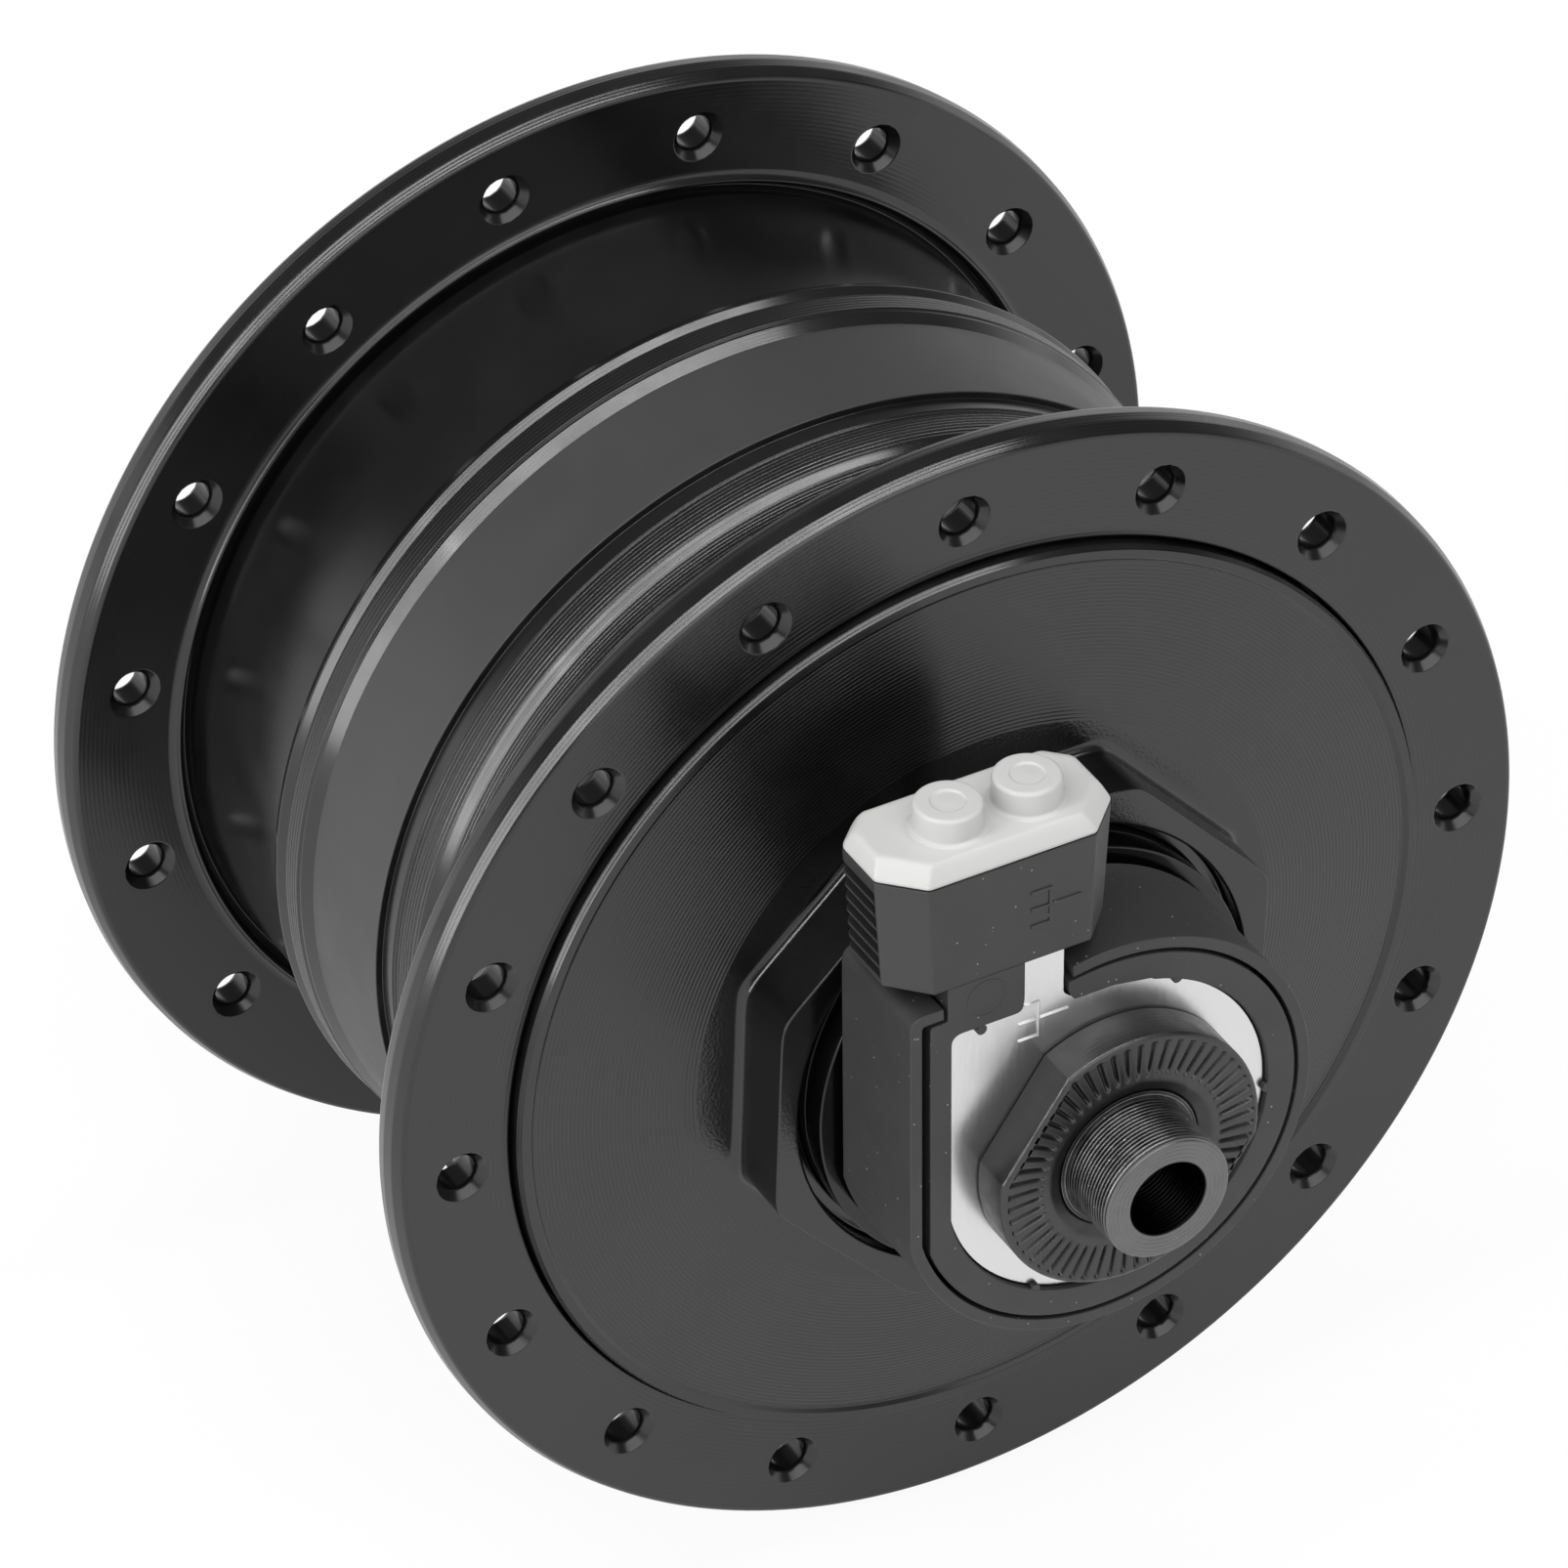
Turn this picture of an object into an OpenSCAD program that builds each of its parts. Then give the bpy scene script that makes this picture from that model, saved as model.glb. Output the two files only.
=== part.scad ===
// Hub dynamo for a bicycle's front wheel: a rotating shell round a fixed axle and generator.
// The axle lies along Y with the electrical plug at -Y; +Z is the way the plug pulls off.
// The origin is on the axle's axis, midway between the two locknut faces.

/* [Axle] */
// Distance over the two locknut faces, the fork's width
over_locknut = 100; // [97:0.5:125]
// How far each axle tip stands out of its locknut
axle_overhang = 4.4; // [3:0.1:6]
// Diameter of the threaded axle
axle_d = 10; // [9:0.5:12]
// Diameter of the plain axle tips, which sit in the fork's slots
tip_d = 9; // [8:0.1:9.5]
// Diameter of the hole for the quick-release skewer
skewer_d = 5.4; // [5:0.1:6]
// Chamfer at the axle's two ends
tip_chamfer = 0.4; // [0.1:0.1:0.8]
// Width of the groove in the axle that the coil's lead lies in
lead_groove_w = 1.5; // [1.3:0.1:2]

/* [Flanges] */
// Spoke holes in each flange
spoke_count = 16; // [12:1:18]
// Diameter of a spoke hole
spoke_hole_d = 2.5; // [2.2:0.1:2.9]
// Turn of the right flange's spoke holes about the axle
spoke_turn = -1; // [-11:0.5:11]
// Diameter of the countersink round a spoke hole
countersink_d = 3.6; // [3:0.1:4]
// Thickness of each flange
flange_t = 3.3; // [2.8:0.1:5]
// Radius on the flange rims
rim_round = 0.7; // [0.3:0.1:1.2]
// Width of flange between the end cap's seat and the spoke circle
spoke_land = 3.4; // [2.8:0.1:6]
// Width of flange outside the spoke circle
rim_land = 4.6; // [3:0.1:8]
// Right locknut face to the right flange's outer face
right_inset = 20.1; // [19.5:0.1:23]
// Left locknut face to the left flange's inner face
left_inset = 32.35; // [31:0.1:34]

/* [Shell] */
// Diameter of the smooth band round the barrel
barrel_d = 66.6; // [62:0.2:82]
// Height of the shoulder behind the band
shoulder_rise = 0.6; // [0.3:0.1:1.2]
// Drop from the band to the turned land in front of it
land_drop = 0.6; // [0.3:0.1:1]
// Drop from that land to the waist at the right flange's root
waist_drop = 0.65; // [0.3:0.05:0.8]
// Wall of the barrel under the waist
waist_wall = 1.65; // [1.4:0.05:1.8]
// Depth of the neck below the band
neck_drop = 0.7; // [0.4:0.1:1.2]
// Wall of the neck
neck_wall = 3.4; // [2:0.1:5]
// Left flange's inner face to the barrel's rear shoulder
neck_length = 14.95; // [13:0.1:16]

/* [Brake spline] */
// Diameter over the spline's teeth
spline_d = 34.4; // [34:0.1:36]
// Height of the spline's teeth
spline_h = 0.9; // [0.5:0.1:1]
// Teeth on the spline
spline_teeth = 18; // [12:1:24]
// Length of the spline
spline_length = 7.5; // [6:0.5:8]
// Diameter of the shoulder that stops the brake disc
disc_stop_d = 41.2; // [38:0.2:44]
// Diameter of the mouth for the disc's lock ring
lockring_d = 29.8; // [29:0.1:30]

/* [End cap] */
// How far the cap's rim stands out of the flange
cap_rise = 0.95; // [0.4:0.05:1.5]
// Width of the cap's rim that seats on the shell
cap_rim_w = 2.4; // [2.2:0.1:3]
// Depth of the seat for the rim in the flange
cap_seat_depth = 3; // [2:0.1:3.2]
// Thickness of the cap's plate
cap_plate_t = 3.3; // [2.5:0.1:3.6]
// Length of the spigot that goes into the barrel
spigot_length = 5.3; // [3:0.1:5.5]
// Distance across the flats of the eight-sided boss
boss_flats = 35.9; // [35:0.1:37]
// How far the boss stands out of the flat ring round it
boss_flat_h = 4.9; // [4:0.1:5.5]
// Width of the sloped foot round the boss
boss_fillet = 0.7; // [0.2:0.1:1]
// Diameter of the flat ring round the boss
boss_ring_d = 42.5; // [41.6:0.1:46]
// Diameter of the opening in the boss
boss_opening_d = 33; // [32:0.1:33.4]
// Turn of the boss about the axle
boss_turn = -2.5; // [-22:0.5:22]
// Thickness of the sealing ring's section
o_ring_d = 1.36; // [1:0.02:1.5]

/* [Bearings] */
// Diameter of a ball
ball_d = 4.76; // [4:0.01:5]
// Balls in each bearing
ball_count = 10; // [8:1:11]
// Diameter of the circle through the balls' centres
ball_pcd = 18.4; // [17.8:0.1:20]
// Outer diameter of a bearing cup
cup_d = 27; // [26:0.1:28]
// Length of a bearing cup
cup_length = 6.4; // [5.5:0.1:7]
// Ball centre to a cone's outer end
cone_reach = 5.7; // [5.4:0.1:7]

/* [Locknuts and spacers] */
// Diameter of a locknut
locknut_d = 18.85; // [17:0.05:21]
// Thickness of a locknut
locknut_t = 3.2; // [2.6:0.1:4]
// Distance across a locknut's two flats
locknut_flats = 17; // [15:0.5:18]
// Radial grooves in a locknut's face
grip_grooves = 56; // [24:4:64]
// Diameter of the spacers
spacer_d = 14; // [13:0.5:15]
// Length of the right spacer, inside the terminal case
right_spacer_t = 8.4; // [7.4:0.1:9.4]
// Length of the left spacer
left_spacer_t = 3.6; // [2:0.1:6]
// Diameter of the right dust disc, inside the boss's opening
right_disc_d = 31.4; // [29.6:0.1:31.6]
// Diameter of the left dust disc
left_disc_d = 27.6; // [24:0.1:29]
// Thickness of the right dust disc
right_disc_t = 1.2; // [0.8:0.1:2]
// Thickness of the left dust disc
left_disc_t = 1; // [0.8:0.1:2]

/* [Generator] */
// Length of the magnets and of the claws
magnet_length = 20; // [16:0.5:21]
// Thickness of the magnets
magnet_t = 2.7; // [2:0.1:3.5]
// Thickness of the steel ring behind the magnets
yoke_t = 1.1; // [0.8:0.1:1.6]
// Gap between the magnets and the claws
air_gap = 0.5; // [0.3:0.05:1]
// Claws on each claw ring
claw_count = 14; // [10:1:14]
// Width of a claw
claw_w = 4.2; // [3:0.1:4.4]
// Radial thickness of a claw
claw_t = 2.9; // [2:0.1:4]
// Thickness of a claw ring's plate
claw_plate_t = 1.8; // [1:0.1:3]
// Diameter of the steel core inside the coil
core_d = 17.2; // [15:0.1:20]
// Wall of the coil's bobbin
bobbin_wall = 1; // [0.6:0.1:1.5]
// Thickness of the nut that clamps the stator
stator_nut_t = 3; // [2:0.1:3.5]
// Diameter of the coil's lead
lead_d = 1.1; // [0.8:0.1:1.2]

/* [Terminal] */
// Radius of the round part of the terminal case
case_r = 14.85; // [14.4:0.05:15.5]
// Axle's axis to the case's flat left side
case_side = 14.1; // [13.8:0.1:14.8]
// Wall of the case
case_wall = 0.8; // [0.6:0.1:1.2]
// Right locknut face to the case's front face
case_inset = 2.8; // [2:0.1:3.5]
// Depth of the pocket for the terminal block
block_depth = 7; // [5:0.1:7.5]
// Rim of the block round its window
window_rim = 2.1; // [1.6:0.1:3]
// Thickness of the earth plate
plate_t = 0.5; // [0.4:0.1:1]
// Width of the earth plate's tab
tab_w = 3.1; // [2:0.1:3.6]
// Width of the live blade
live_w = 2.4; // [2:0.1:3]
// Thickness of the live blade
live_t = 0.6; // [0.4:0.1:1]
// Height of the two blades above the plug's seat
blade_h = 4.7; // [3:0.1:5.2]
// Height of the plug's seat above the case
seat_h = 1.45; // [1:0.05:2]

/* [Plug] */
// Width of the plug at its top
plug_w = 16.8; // [16:0.1:19]
// How much narrower the plug is at its foot, on each side
plug_taper = 0.5; // [0:0.1:1.2]
// Depth of the plug along the axle
plug_d = 8; // [7.6:0.1:9]
// Height of the plug's cover
cover_h = 8.1; // [7.5:0.1:12]
// Chamfer of the cover's front corners
front_corner = 2.45; // [1:0.05:3]
// Chamfer of the cover's rear corners
rear_corner = 1.5; // [0.5:0.05:3]
// Pitch of the grip ribs on the cover's sides
rib_pitch = 1; // [0.8:0.1:1.5]
// Depth of the grooves between the ribs
rib_depth = 0.35; // [0.2:0.05:0.6]
// Height of the cap's bevelled plate
plug_cap_h = 1.45; // [1:0.05:2]
// How far the cap's bevel draws in
plug_cap_bevel = 0.7; // [0.3:0.05:1]
// Diameter of the two nubs on the cap
nub_d = 4.5; // [4:0.1:5.2]
// Height of the nubs
nub_h = 1.85; // [1:0.05:3]
// Distance between the nubs
nub_gap = 5.6; // [5.4:0.05:7]

/* [Clearances] */
// Play round each ball in its races
race_play = 0.05; // [0.03:0.01:0.08]
// Gap between a pressed or screwed piece and its seat
seat_play = 0.02; // [0.01:0.01:0.05]
// Thickness of the glue behind the magnets
glue_t = 0.12; // [0.1:0.01:0.2]
// Gap between a turning piece and a fixed one
turn_play = 0.25; // [0.15:0.05:0.5]
// Gap round the plug's sliding contacts
slide_play = 0.2; // [0.1:0.05:0.4]

/* [Hidden] */
$fn = 96;

// Colours, as the photograph shows them
black_metal = [0.16, 0.16, 0.17];
black_oxide = [0.24, 0.24, 0.25];
bright_steel = [0.78, 0.79, 0.8];
zinc_steel = [0.62, 0.63, 0.65];
black_plastic = [0.2, 0.2, 0.21];
pale_plastic = [0.85, 0.85, 0.84];
soft_rubber = [0.1, 0.1, 0.1];
copper = [0.75, 0.42, 0.25];
brass_metal = [0.78, 0.66, 0.36];
ferrite = [0.25, 0.24, 0.25];
lamination = [0.45, 0.46, 0.48];

// A small overlap for cuts that pass through a face
eps = 0.01;

// Places along the axle
y_right = -over_locknut / 2;
y_left = over_locknut / 2;
y_tip = over_locknut / 2 + axle_overhang;
face_right = y_right + right_inset;
face_left = y_left - left_inset;
y_plate = y_right + locknut_t;
y_right_spacer = y_plate + plate_t;
y_right_disc = y_right_spacer + right_spacer_t;
y_right_cone = y_right_disc + right_disc_t;
y_right_balls = y_right_cone + cone_reach;
y_left_spacer = y_left - locknut_t;
y_left_disc = y_left_spacer - left_spacer_t;
y_left_cone = y_left_disc - left_disc_t;
y_left_balls = y_left_cone - cone_reach;

// Radii of the axle
axle_r = axle_d / 2;
tip_r = tip_d / 2;
skewer_r = skewer_d / 2;
step_in = 0.3;

// Radii of the shell, from the barrel inwards and outwards
barrel_r = barrel_d / 2;
shoulder_r = barrel_r + shoulder_rise;
land_r = barrel_r - land_drop;
waist_r = land_r - waist_drop;
bore_r = waist_r - waist_wall;
neck_r = barrel_r - neck_drop;
neck_bore_r = neck_r - neck_wall;
spigot_r = bore_r + 0.6;
cap_r = spigot_r + cap_rim_w;
seat_r = cap_r + 0.2;
spoke_r = seat_r + spoke_land;
flange_r = spoke_r + rim_land;
flare_r = waist_r + 3.3;
flare_length = 7;

// Places along the barrel
y_seat = face_right + cap_seat_depth;
y_spigot = y_seat + spigot_length;
y_back = face_right + flange_t;
y_waist = y_back + flare_length;
y_shoulder = face_left - neck_length;
y_band_rear = y_shoulder - 4.53;
y_chamfer = y_shoulder - 3.42;
y_band_front = y_band_rear - 8.92;
y_ridge = y_band_front - 3.85;
y_stop = y_shoulder - 1.1;
recess_depth = 0.7;
recess_r = barrel_r - 0.1;

// Places on the left end
spline_r = spline_d / 2;
spline_root_r = spline_r - spline_h;
disc_stop_r = disc_stop_d / 2;
lockring_r = lockring_d / 2;
y_left_end = y_left_cone - 0.5;
y_disc_stop = y_left_end - spline_length;
y_outer_left = face_left + flange_t;

// Bearings
ball_r = ball_d / 2;
pitch_r = ball_pcd / 2;
cup_r = cup_d / 2;
race_r = ball_r + race_play;
cup_lip = 3;
cone_r = pitch_r - 0.8;
cage_w = 1.6;
cage_play = 0.1;

// End cap
y_boss = y_right_balls - 5.6;
y_cap_rim = face_right - cap_rise;
y_cap_in = y_cap_rim + 0.05 + cap_plate_t;
y_boss_foot = y_boss + boss_flat_h;
y_seal_seat = y_right_balls - (cup_length - cup_lip);
seal_r = boss_opening_d / 2 - 0.9;
seal_t = 1.2;
o_ring_r = o_ring_d / 2;
o_ring_centre = spigot_r + cap_rim_w / 2;

// Generator, from the bore inwards
yoke_out_r = bore_r - seat_play;
yoke_in_r = yoke_out_r - yoke_t;
magnet_out_r = yoke_in_r - glue_t;
magnet_in_r = magnet_out_r - magnet_t;
stator_r = magnet_in_r - air_gap;
claw_in_r = stator_r - claw_t;
claw_plate_r = claw_in_r - 0.8;
core_r = core_d / 2;
y_magnet = y_stop - magnet_length;
claw_tip_gap = 0.5;
stator_length = magnet_length - 4 * turn_play;
y_stator = y_magnet + 2 * turn_play;
y_stator_end = y_stator + stator_length;
y_bobbin = y_stator + claw_plate_t;
bobbin_length = stator_length - 2 * claw_plate_t;
bobbin_r = claw_plate_r - 0.2;
collar_r = core_r - 0.6;
collar_t = 2;
nut_flats = 15;
magnet_parts = 4;
magnet_split = 1;

// Coil lead in the axle's groove
lead_r = lead_d / 2;
groove_depth = lead_d + 0.2;
lead_z = axle_r - groove_depth + lead_r + 0.05;
y_lead_in = y_bobbin - claw_plate_t / 2;
y_lead_out = y_right_spacer + 2.2;

// Terminal
y_case = y_right + case_inset;
case_corner = 0.7;
y_case_back = y_right_disc - 0.6;
case_gap = 0.25;
block_r = case_r - case_wall - case_gap;
block_side = case_side - case_wall;
y_block_back = y_case + block_depth;
window_r = block_r - window_rim;
window_side = block_side - window_rim + 0.25;
z_seat = case_r + seat_h;
tab_x = -4.6;
live_x = -9.5;
neck_x0 = live_x - live_w / 2 - 1.05;
neck_x1 = tab_x + tab_w / 2 + 0.05;
spacer_r = spacer_d / 2;
y_live = y_plate + 2.2;
z_live = spacer_r + 1;
z_blade = z_seat + blade_h;

// Plug
plug_x = -7.2;
y_plug = y_case - 0.1;
z_cover_top = z_seat + cover_h;
cover_half = plug_w / 2;
tongue_h = 1.6;
tongue_w = 9;
tongue_d = 3.4;
contact_t = 0.4;
rib_count = floor((cover_h - 1) / rib_pitch);

// Points on an arc or a quarter of an ellipse, by angle from the first axis
function arc(c, a, b, from, to, n) =
  [for (i = [0:n]) let (t = from + (to - from) * i / n) [c[0] + a * cos(t), c[1] + b * sin(t)]];

// Turns a profile of radius and place along the axle
module turned(points) {
  rotate([-90, 0, 0]) rotate_extrude() polygon(points);
}

// A plain round bar or ring along the axle
module ring(r_out, r_in, y0, y1) {
  translate([0, y0, 0]) rotate([-90, 0, 0]) difference() {
    cylinder(h = y1 - y0, r = r_out);
    if (r_in > 0) translate([0, 0, -eps]) cylinder(h = y1 - y0 + 2 * eps, r = r_in);
  }
}

// Extrudes an outline drawn in X and Z between two places along the axle
module prism(y0, y1) {
  translate([0, y1, 0]) rotate([90, 0, 0]) linear_extrude(height = y1 - y0) children();
}

// Copies around the axle
module around(count, first = 0) {
  for (i = [0:count - 1]) rotate([0, first + i * 360 / count, 0]) children();
}

// A block given by its lowest and highest corners
module block(low, high) {
  translate(low) cube(high - low);
}

module spoke_holes(y0, y1, first) {
  sink = (countersink_d - spoke_hole_d) / 2;
  around(spoke_count, first) translate([0, 0, spoke_r]) rotate([-90, 0, 0]) {
    translate([0, 0, y0 - 1]) cylinder(h = y1 - y0 + 2, d = spoke_hole_d, $fn = 32);
    translate([0, 0, y0 - eps]) cylinder(h = sink, d1 = countersink_d, d2 = spoke_hole_d, $fn = 32);
    translate([0, 0, y1 - sink + eps]) cylinder(h = sink, d1 = spoke_hole_d, d2 = countersink_d, $fn = 32);
  }
}

module axle() {
  c = tip_chamfer;
  b = seat_play;
  color(black_oxide) difference() {
    turned([
      [skewer_r + c, -y_tip], [tip_r - c, -y_tip], [tip_r, -y_tip + c],
      [tip_r, y_right + step_in], [axle_r, y_right + step_in],
      [axle_r, y_stator_end + b], [collar_r, y_stator_end + b],
      [collar_r, y_stator_end + collar_t], [axle_r, y_stator_end + collar_t], [axle_r, y_left - step_in], [tip_r, y_left - step_in],
      [tip_r, y_tip - c], [tip_r - c, y_tip], [skewer_r + c, y_tip],
      [skewer_r, y_tip - c], [skewer_r, -y_tip + c]
    ]);
    block([-lead_groove_w / 2, y_lead_out - 1, axle_r - groove_depth],
          [lead_groove_w / 2, y_lead_in + 1, axle_r + 1]);
  }
}

// A bearing cone for balls at y = 0, with its outer end at -cone_reach
module cone_shape() {
  rotate([-90, 0, 0]) rotate_extrude() difference() {
    polygon([
      [axle_r + seat_play, -cone_reach], [cone_r, -cone_reach], [cone_r, -1.6],
      [cone_r - 1.8, 1.2], [axle_r + seat_play, 1.2]
    ]);
    translate([pitch_r, 0]) circle(r = race_r, $fn = 64);
  }
}

// A bearing cup for balls at y = 0, with its closed side at +cup_lip
module cup_shape() {
  rotate([-90, 0, 0]) rotate_extrude() difference() {
    polygon([
      [pitch_r + ball_r + 0.2, cup_lip - cup_length], [cup_r - seat_play, cup_lip - cup_length],
      [cup_r - seat_play, cup_lip], [pitch_r + 0.5, cup_lip], [pitch_r + 0.5, 1.6],
      [pitch_r + ball_r + 0.2, 0]
    ]);
    translate([pitch_r, 0]) circle(r = race_r, $fn = 64);
  }
}

module ball_set() {
  around(ball_count) translate([0, 0, pitch_r]) sphere(r = ball_r, $fn = 48);
}

// The balls' cage: one ring with a spherical pocket for each ball
module cage_shape() {
  difference() {
    ring(pitch_r + cage_w - 0.2, pitch_r - 0.2, -ball_r - 0.6, -0.3);
    around(ball_count) translate([0, 0, pitch_r]) sphere(r = ball_r + cage_play, $fn = 48);
  }
}

module at_left_bearing() {
  translate([0, y_left_balls, 0]) mirror([0, 1, 0]) children();
}

module right_cone() {
  color(bright_steel) translate([0, y_right_balls, 0]) cone_shape();
}

module left_cone() {
  color(bright_steel) at_left_bearing() cone_shape();
}

module right_cup() {
  color(bright_steel) translate([0, y_right_balls, 0]) cup_shape();
}

module left_cup() {
  color(bright_steel) at_left_bearing() cup_shape();
}

module right_balls() {
  color(bright_steel) translate([0, y_right_balls, 0]) ball_set();
}

module left_balls() {
  color(bright_steel) at_left_bearing() ball_set();
}

module right_cage() {
  color(zinc_steel) translate([0, y_right_balls, 0]) cage_shape();
}

module left_cage() {
  color(zinc_steel) at_left_bearing() cage_shape();
}

// A locknut with its gripping face at y = 0 and its body towards +y
module locknut_shape() {
  land = axle_r + 1.5;
  difference() {
    turned([
      [axle_r + seat_play, 0.35], [axle_r + 0.85, 0], [locknut_d / 2 - 0.3, 0], [locknut_d / 2, 0.3],
      [locknut_d / 2, locknut_t], [axle_r + seat_play, locknut_t]
    ]);
    for (side = [-1, 1]) rotate([0, 35, 0])
      block([min(side * locknut_flats / 2, side * locknut_d), -1, -locknut_d],
            [max(side * locknut_flats / 2, side * locknut_d), locknut_t + 1, locknut_d]);
    around(grip_grooves) prism(-1, 0.3)
      polygon([[land, -0.15], [land, 0.15], [locknut_d / 2 + 1, 0.3], [locknut_d / 2 + 1, -0.3]]);
  }
}

module right_locknut() {
  color(black_oxide) translate([0, y_right, 0]) locknut_shape();
}

module left_locknut() {
  color(black_oxide) translate([0, y_left, 0]) mirror([0, 1, 0]) locknut_shape();
}

module right_spacer() {
  color(zinc_steel) difference() {
    ring(spacer_r, axle_r + seat_play, y_right_spacer, y_right_disc);
    block([-lead_groove_w / 2, y_lead_out - lead_groove_w / 2, 0],
          [lead_groove_w / 2, y_lead_out + lead_groove_w / 2, spacer_r + 1]);
  }
}

module left_spacer() {
  color(zinc_steel) ring(spacer_r, axle_r + seat_play, y_left_disc, y_left_spacer);
}

module right_dust_disc() {
  r = right_disc_d / 2;
  color(black_oxide) turned([
    [axle_r + seat_play, y_right_disc], [r - 0.3, y_right_disc], [r, y_right_disc + 0.3],
    [r, y_right_cone], [r - 0.7, y_right_cone], [r - 0.7, y_right_cone + 0.5],
    [r - 1.5, y_right_cone + 0.5], [r - 1.5, y_right_cone], [axle_r + seat_play, y_right_cone]
  ]);
}

module left_dust_disc() {
  r = left_disc_d / 2;
  color(black_oxide) turned([
    [axle_r + seat_play, y_left_cone], [r, y_left_cone], [r, y_left_disc - 0.3],
    [r - 0.3, y_left_disc], [axle_r + seat_play, y_left_disc]
  ]);
}

module stator_core() {
  color(lamination) difference() {
    ring(core_r, axle_r + seat_play, y_stator, y_stator_end);
    block([-lead_groove_w / 2, y_lead_in - lead_groove_w / 2, 0],
          [lead_groove_w / 2, y_lead_in + lead_groove_w / 2, core_r + 1]);
  }
}

// A claw ring with its plate at y = 0 and its claws towards +y
module claw_ring(first) {
  intersection() {
    union() {
      ring(claw_plate_r, core_r + seat_play, 0, claw_plate_t);
      around(claw_count, first) {
        block([-claw_w / 2, 0, claw_plate_r - 1], [claw_w / 2, claw_plate_t, stator_r + 1]);
        block([-claw_w / 2, 0, claw_in_r], [claw_w / 2, stator_length - claw_tip_gap, stator_r + 1]);
      }
    }
    ring(stator_r, 0, -1, stator_length + 1);
  }
}

module right_claw_ring() {
  color(lamination) difference() {
    translate([0, y_stator, 0]) claw_ring(0);
    block([-lead_groove_w / 2, y_lead_in - lead_groove_w / 2, 0],
          [lead_groove_w / 2, y_lead_in + lead_groove_w / 2, core_r + 2.5]);
  }
}

module left_claw_ring() {
  color(lamination) translate([0, y_stator_end, 0]) mirror([0, 1, 0]) claw_ring(180 / claw_count);
}

module coil_bobbin() {
  w = bobbin_wall;
  y1 = y_bobbin + bobbin_length;
  color(black_plastic) turned([
    [core_r + seat_play, y_bobbin], [bobbin_r, y_bobbin], [bobbin_r, y_bobbin + w],
    [core_r + w, y_bobbin + w], [core_r + w, y1 - w], [bobbin_r, y1 - w], [bobbin_r, y1],
    [core_r + seat_play, y1]
  ]);
}

module coil_winding() {
  w = bobbin_wall;
  color(copper) ring(bobbin_r - 0.5, core_r + w, y_bobbin + w, y_bobbin + bobbin_length - w);
}

module stator_nut() {
  color(zinc_steel) difference() {
    translate([0, y_stator - stator_nut_t, 0]) rotate([-90, 0, 0])
      cylinder(h = stator_nut_t, r = nut_flats / 2 / cos(30), $fn = 6);
    ring(axle_r + seat_play, 0, y_stator - stator_nut_t - 1, y_stator + 1);
  }
}

// The insulated wire from the coil, along the axle's groove, to the live contact
module coil_lead() {
  z_in = core_r + 1.6;
  z_out = z_live - 0.1;
  color(soft_rubber) {
    ring_at(lead_r, y_lead_out, y_lead_in);
    for (end = [[y_lead_in, z_in], [y_lead_out, z_out]])
      translate([0, end[0], lead_z]) {
        cylinder(h = end[1] - lead_z, r = lead_r, $fn = 32);
        sphere(r = lead_r, $fn = 32);
      }
  }
}

module ring_at(r, y0, y1) {
  translate([0, y0, lead_z]) rotate([-90, 0, 0]) cylinder(h = y1 - y0, r = r, $fn = 32);
}

// Outline of the terminal case: a circle whose upper left quarter is filled square
module case_outline() {
  intersection() {
    union() {
      circle(r = case_r);
      polygon([[0, 0], [0, case_r], [case_corner - case_side, case_r],
               [-case_side, case_r - case_corner], [-case_side, 0]]);
    }
    translate([-case_side, -case_r - 1]) square(2 * case_r + 2);
  }
}

// Outline of the terminal block inside the case, with its neck up to the plug
module block_outline(grow) {
  top = case_r - case_wall - case_gap;
  intersection() {
    circle(r = block_r + grow);
    translate([-block_side - grow, -case_r]) square([2 * case_r, 2 * case_r]);
  }
  translate([-block_side - grow, 0]) square([block_side + neck_x1 + 2 * grow, top + grow]);
  translate([neck_x0 - grow, 0]) square([neck_x1 - neck_x0 + 2 * grow, z_seat + grow]);
}

// Outline of the window in the block, which the earth plate fills
module window_outline(shrink) {
  top = block_r - window_rim + 0.7;
  intersection() {
    circle(r = window_r - shrink);
    translate([-window_side + shrink, -case_r]) square([2 * case_r, 2 * case_r]);
  }
  polygon([[-window_side + shrink, 0], [-window_side + shrink, top - shrink - 0.4],
           [-window_side + shrink + 0.4, top - shrink], [neck_x1 - shrink, top - shrink],
           [2.5, window_r * 0.965 - shrink], [2.5, 0]]);
  translate([tab_x - tab_w / 2, 0]) square([tab_w, z_blade]);
}

module terminal_case() {
  color(black_plastic) difference() {
    prism(y_case, y_case_back) case_outline();
    prism(y_case - 1, y_block_back) block_outline(case_gap);
    ring(spacer_r + seat_play, 0, y_case - 1, y_case_back + 1);
  }
}

module terminal_block() {
  p = 0.1;
  color(black_plastic) difference() {
    prism(y_case, y_block_back) block_outline(0);
    prism(y_case - 1, y_plate) window_outline(0);
    prism(y_case, y_right_spacer) window_outline(0);
    prism(y_case - 1, y_right_spacer)
      translate([tab_x - tab_w / 2 - p, block_r - window_rim]) square([tab_w + 2 * p, z_seat]);
    ring(spacer_r + seat_play, 0, y_case - 1, y_block_back + 1);
    block([live_x - live_w / 2 - p, y_live - p, z_live - p],
          [live_x + live_w / 2 + p, y_live + live_t + p, z_seat + 1]);
    block([live_x, y_live - p, z_live - p],
          [lead_r + 0.5, y_live + live_t + p, z_live + live_w + p]);
    translate([0, y_lead_out, 0]) cylinder(h = z_live, r = lead_r + p, $fn = 32);
  }
}

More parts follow.
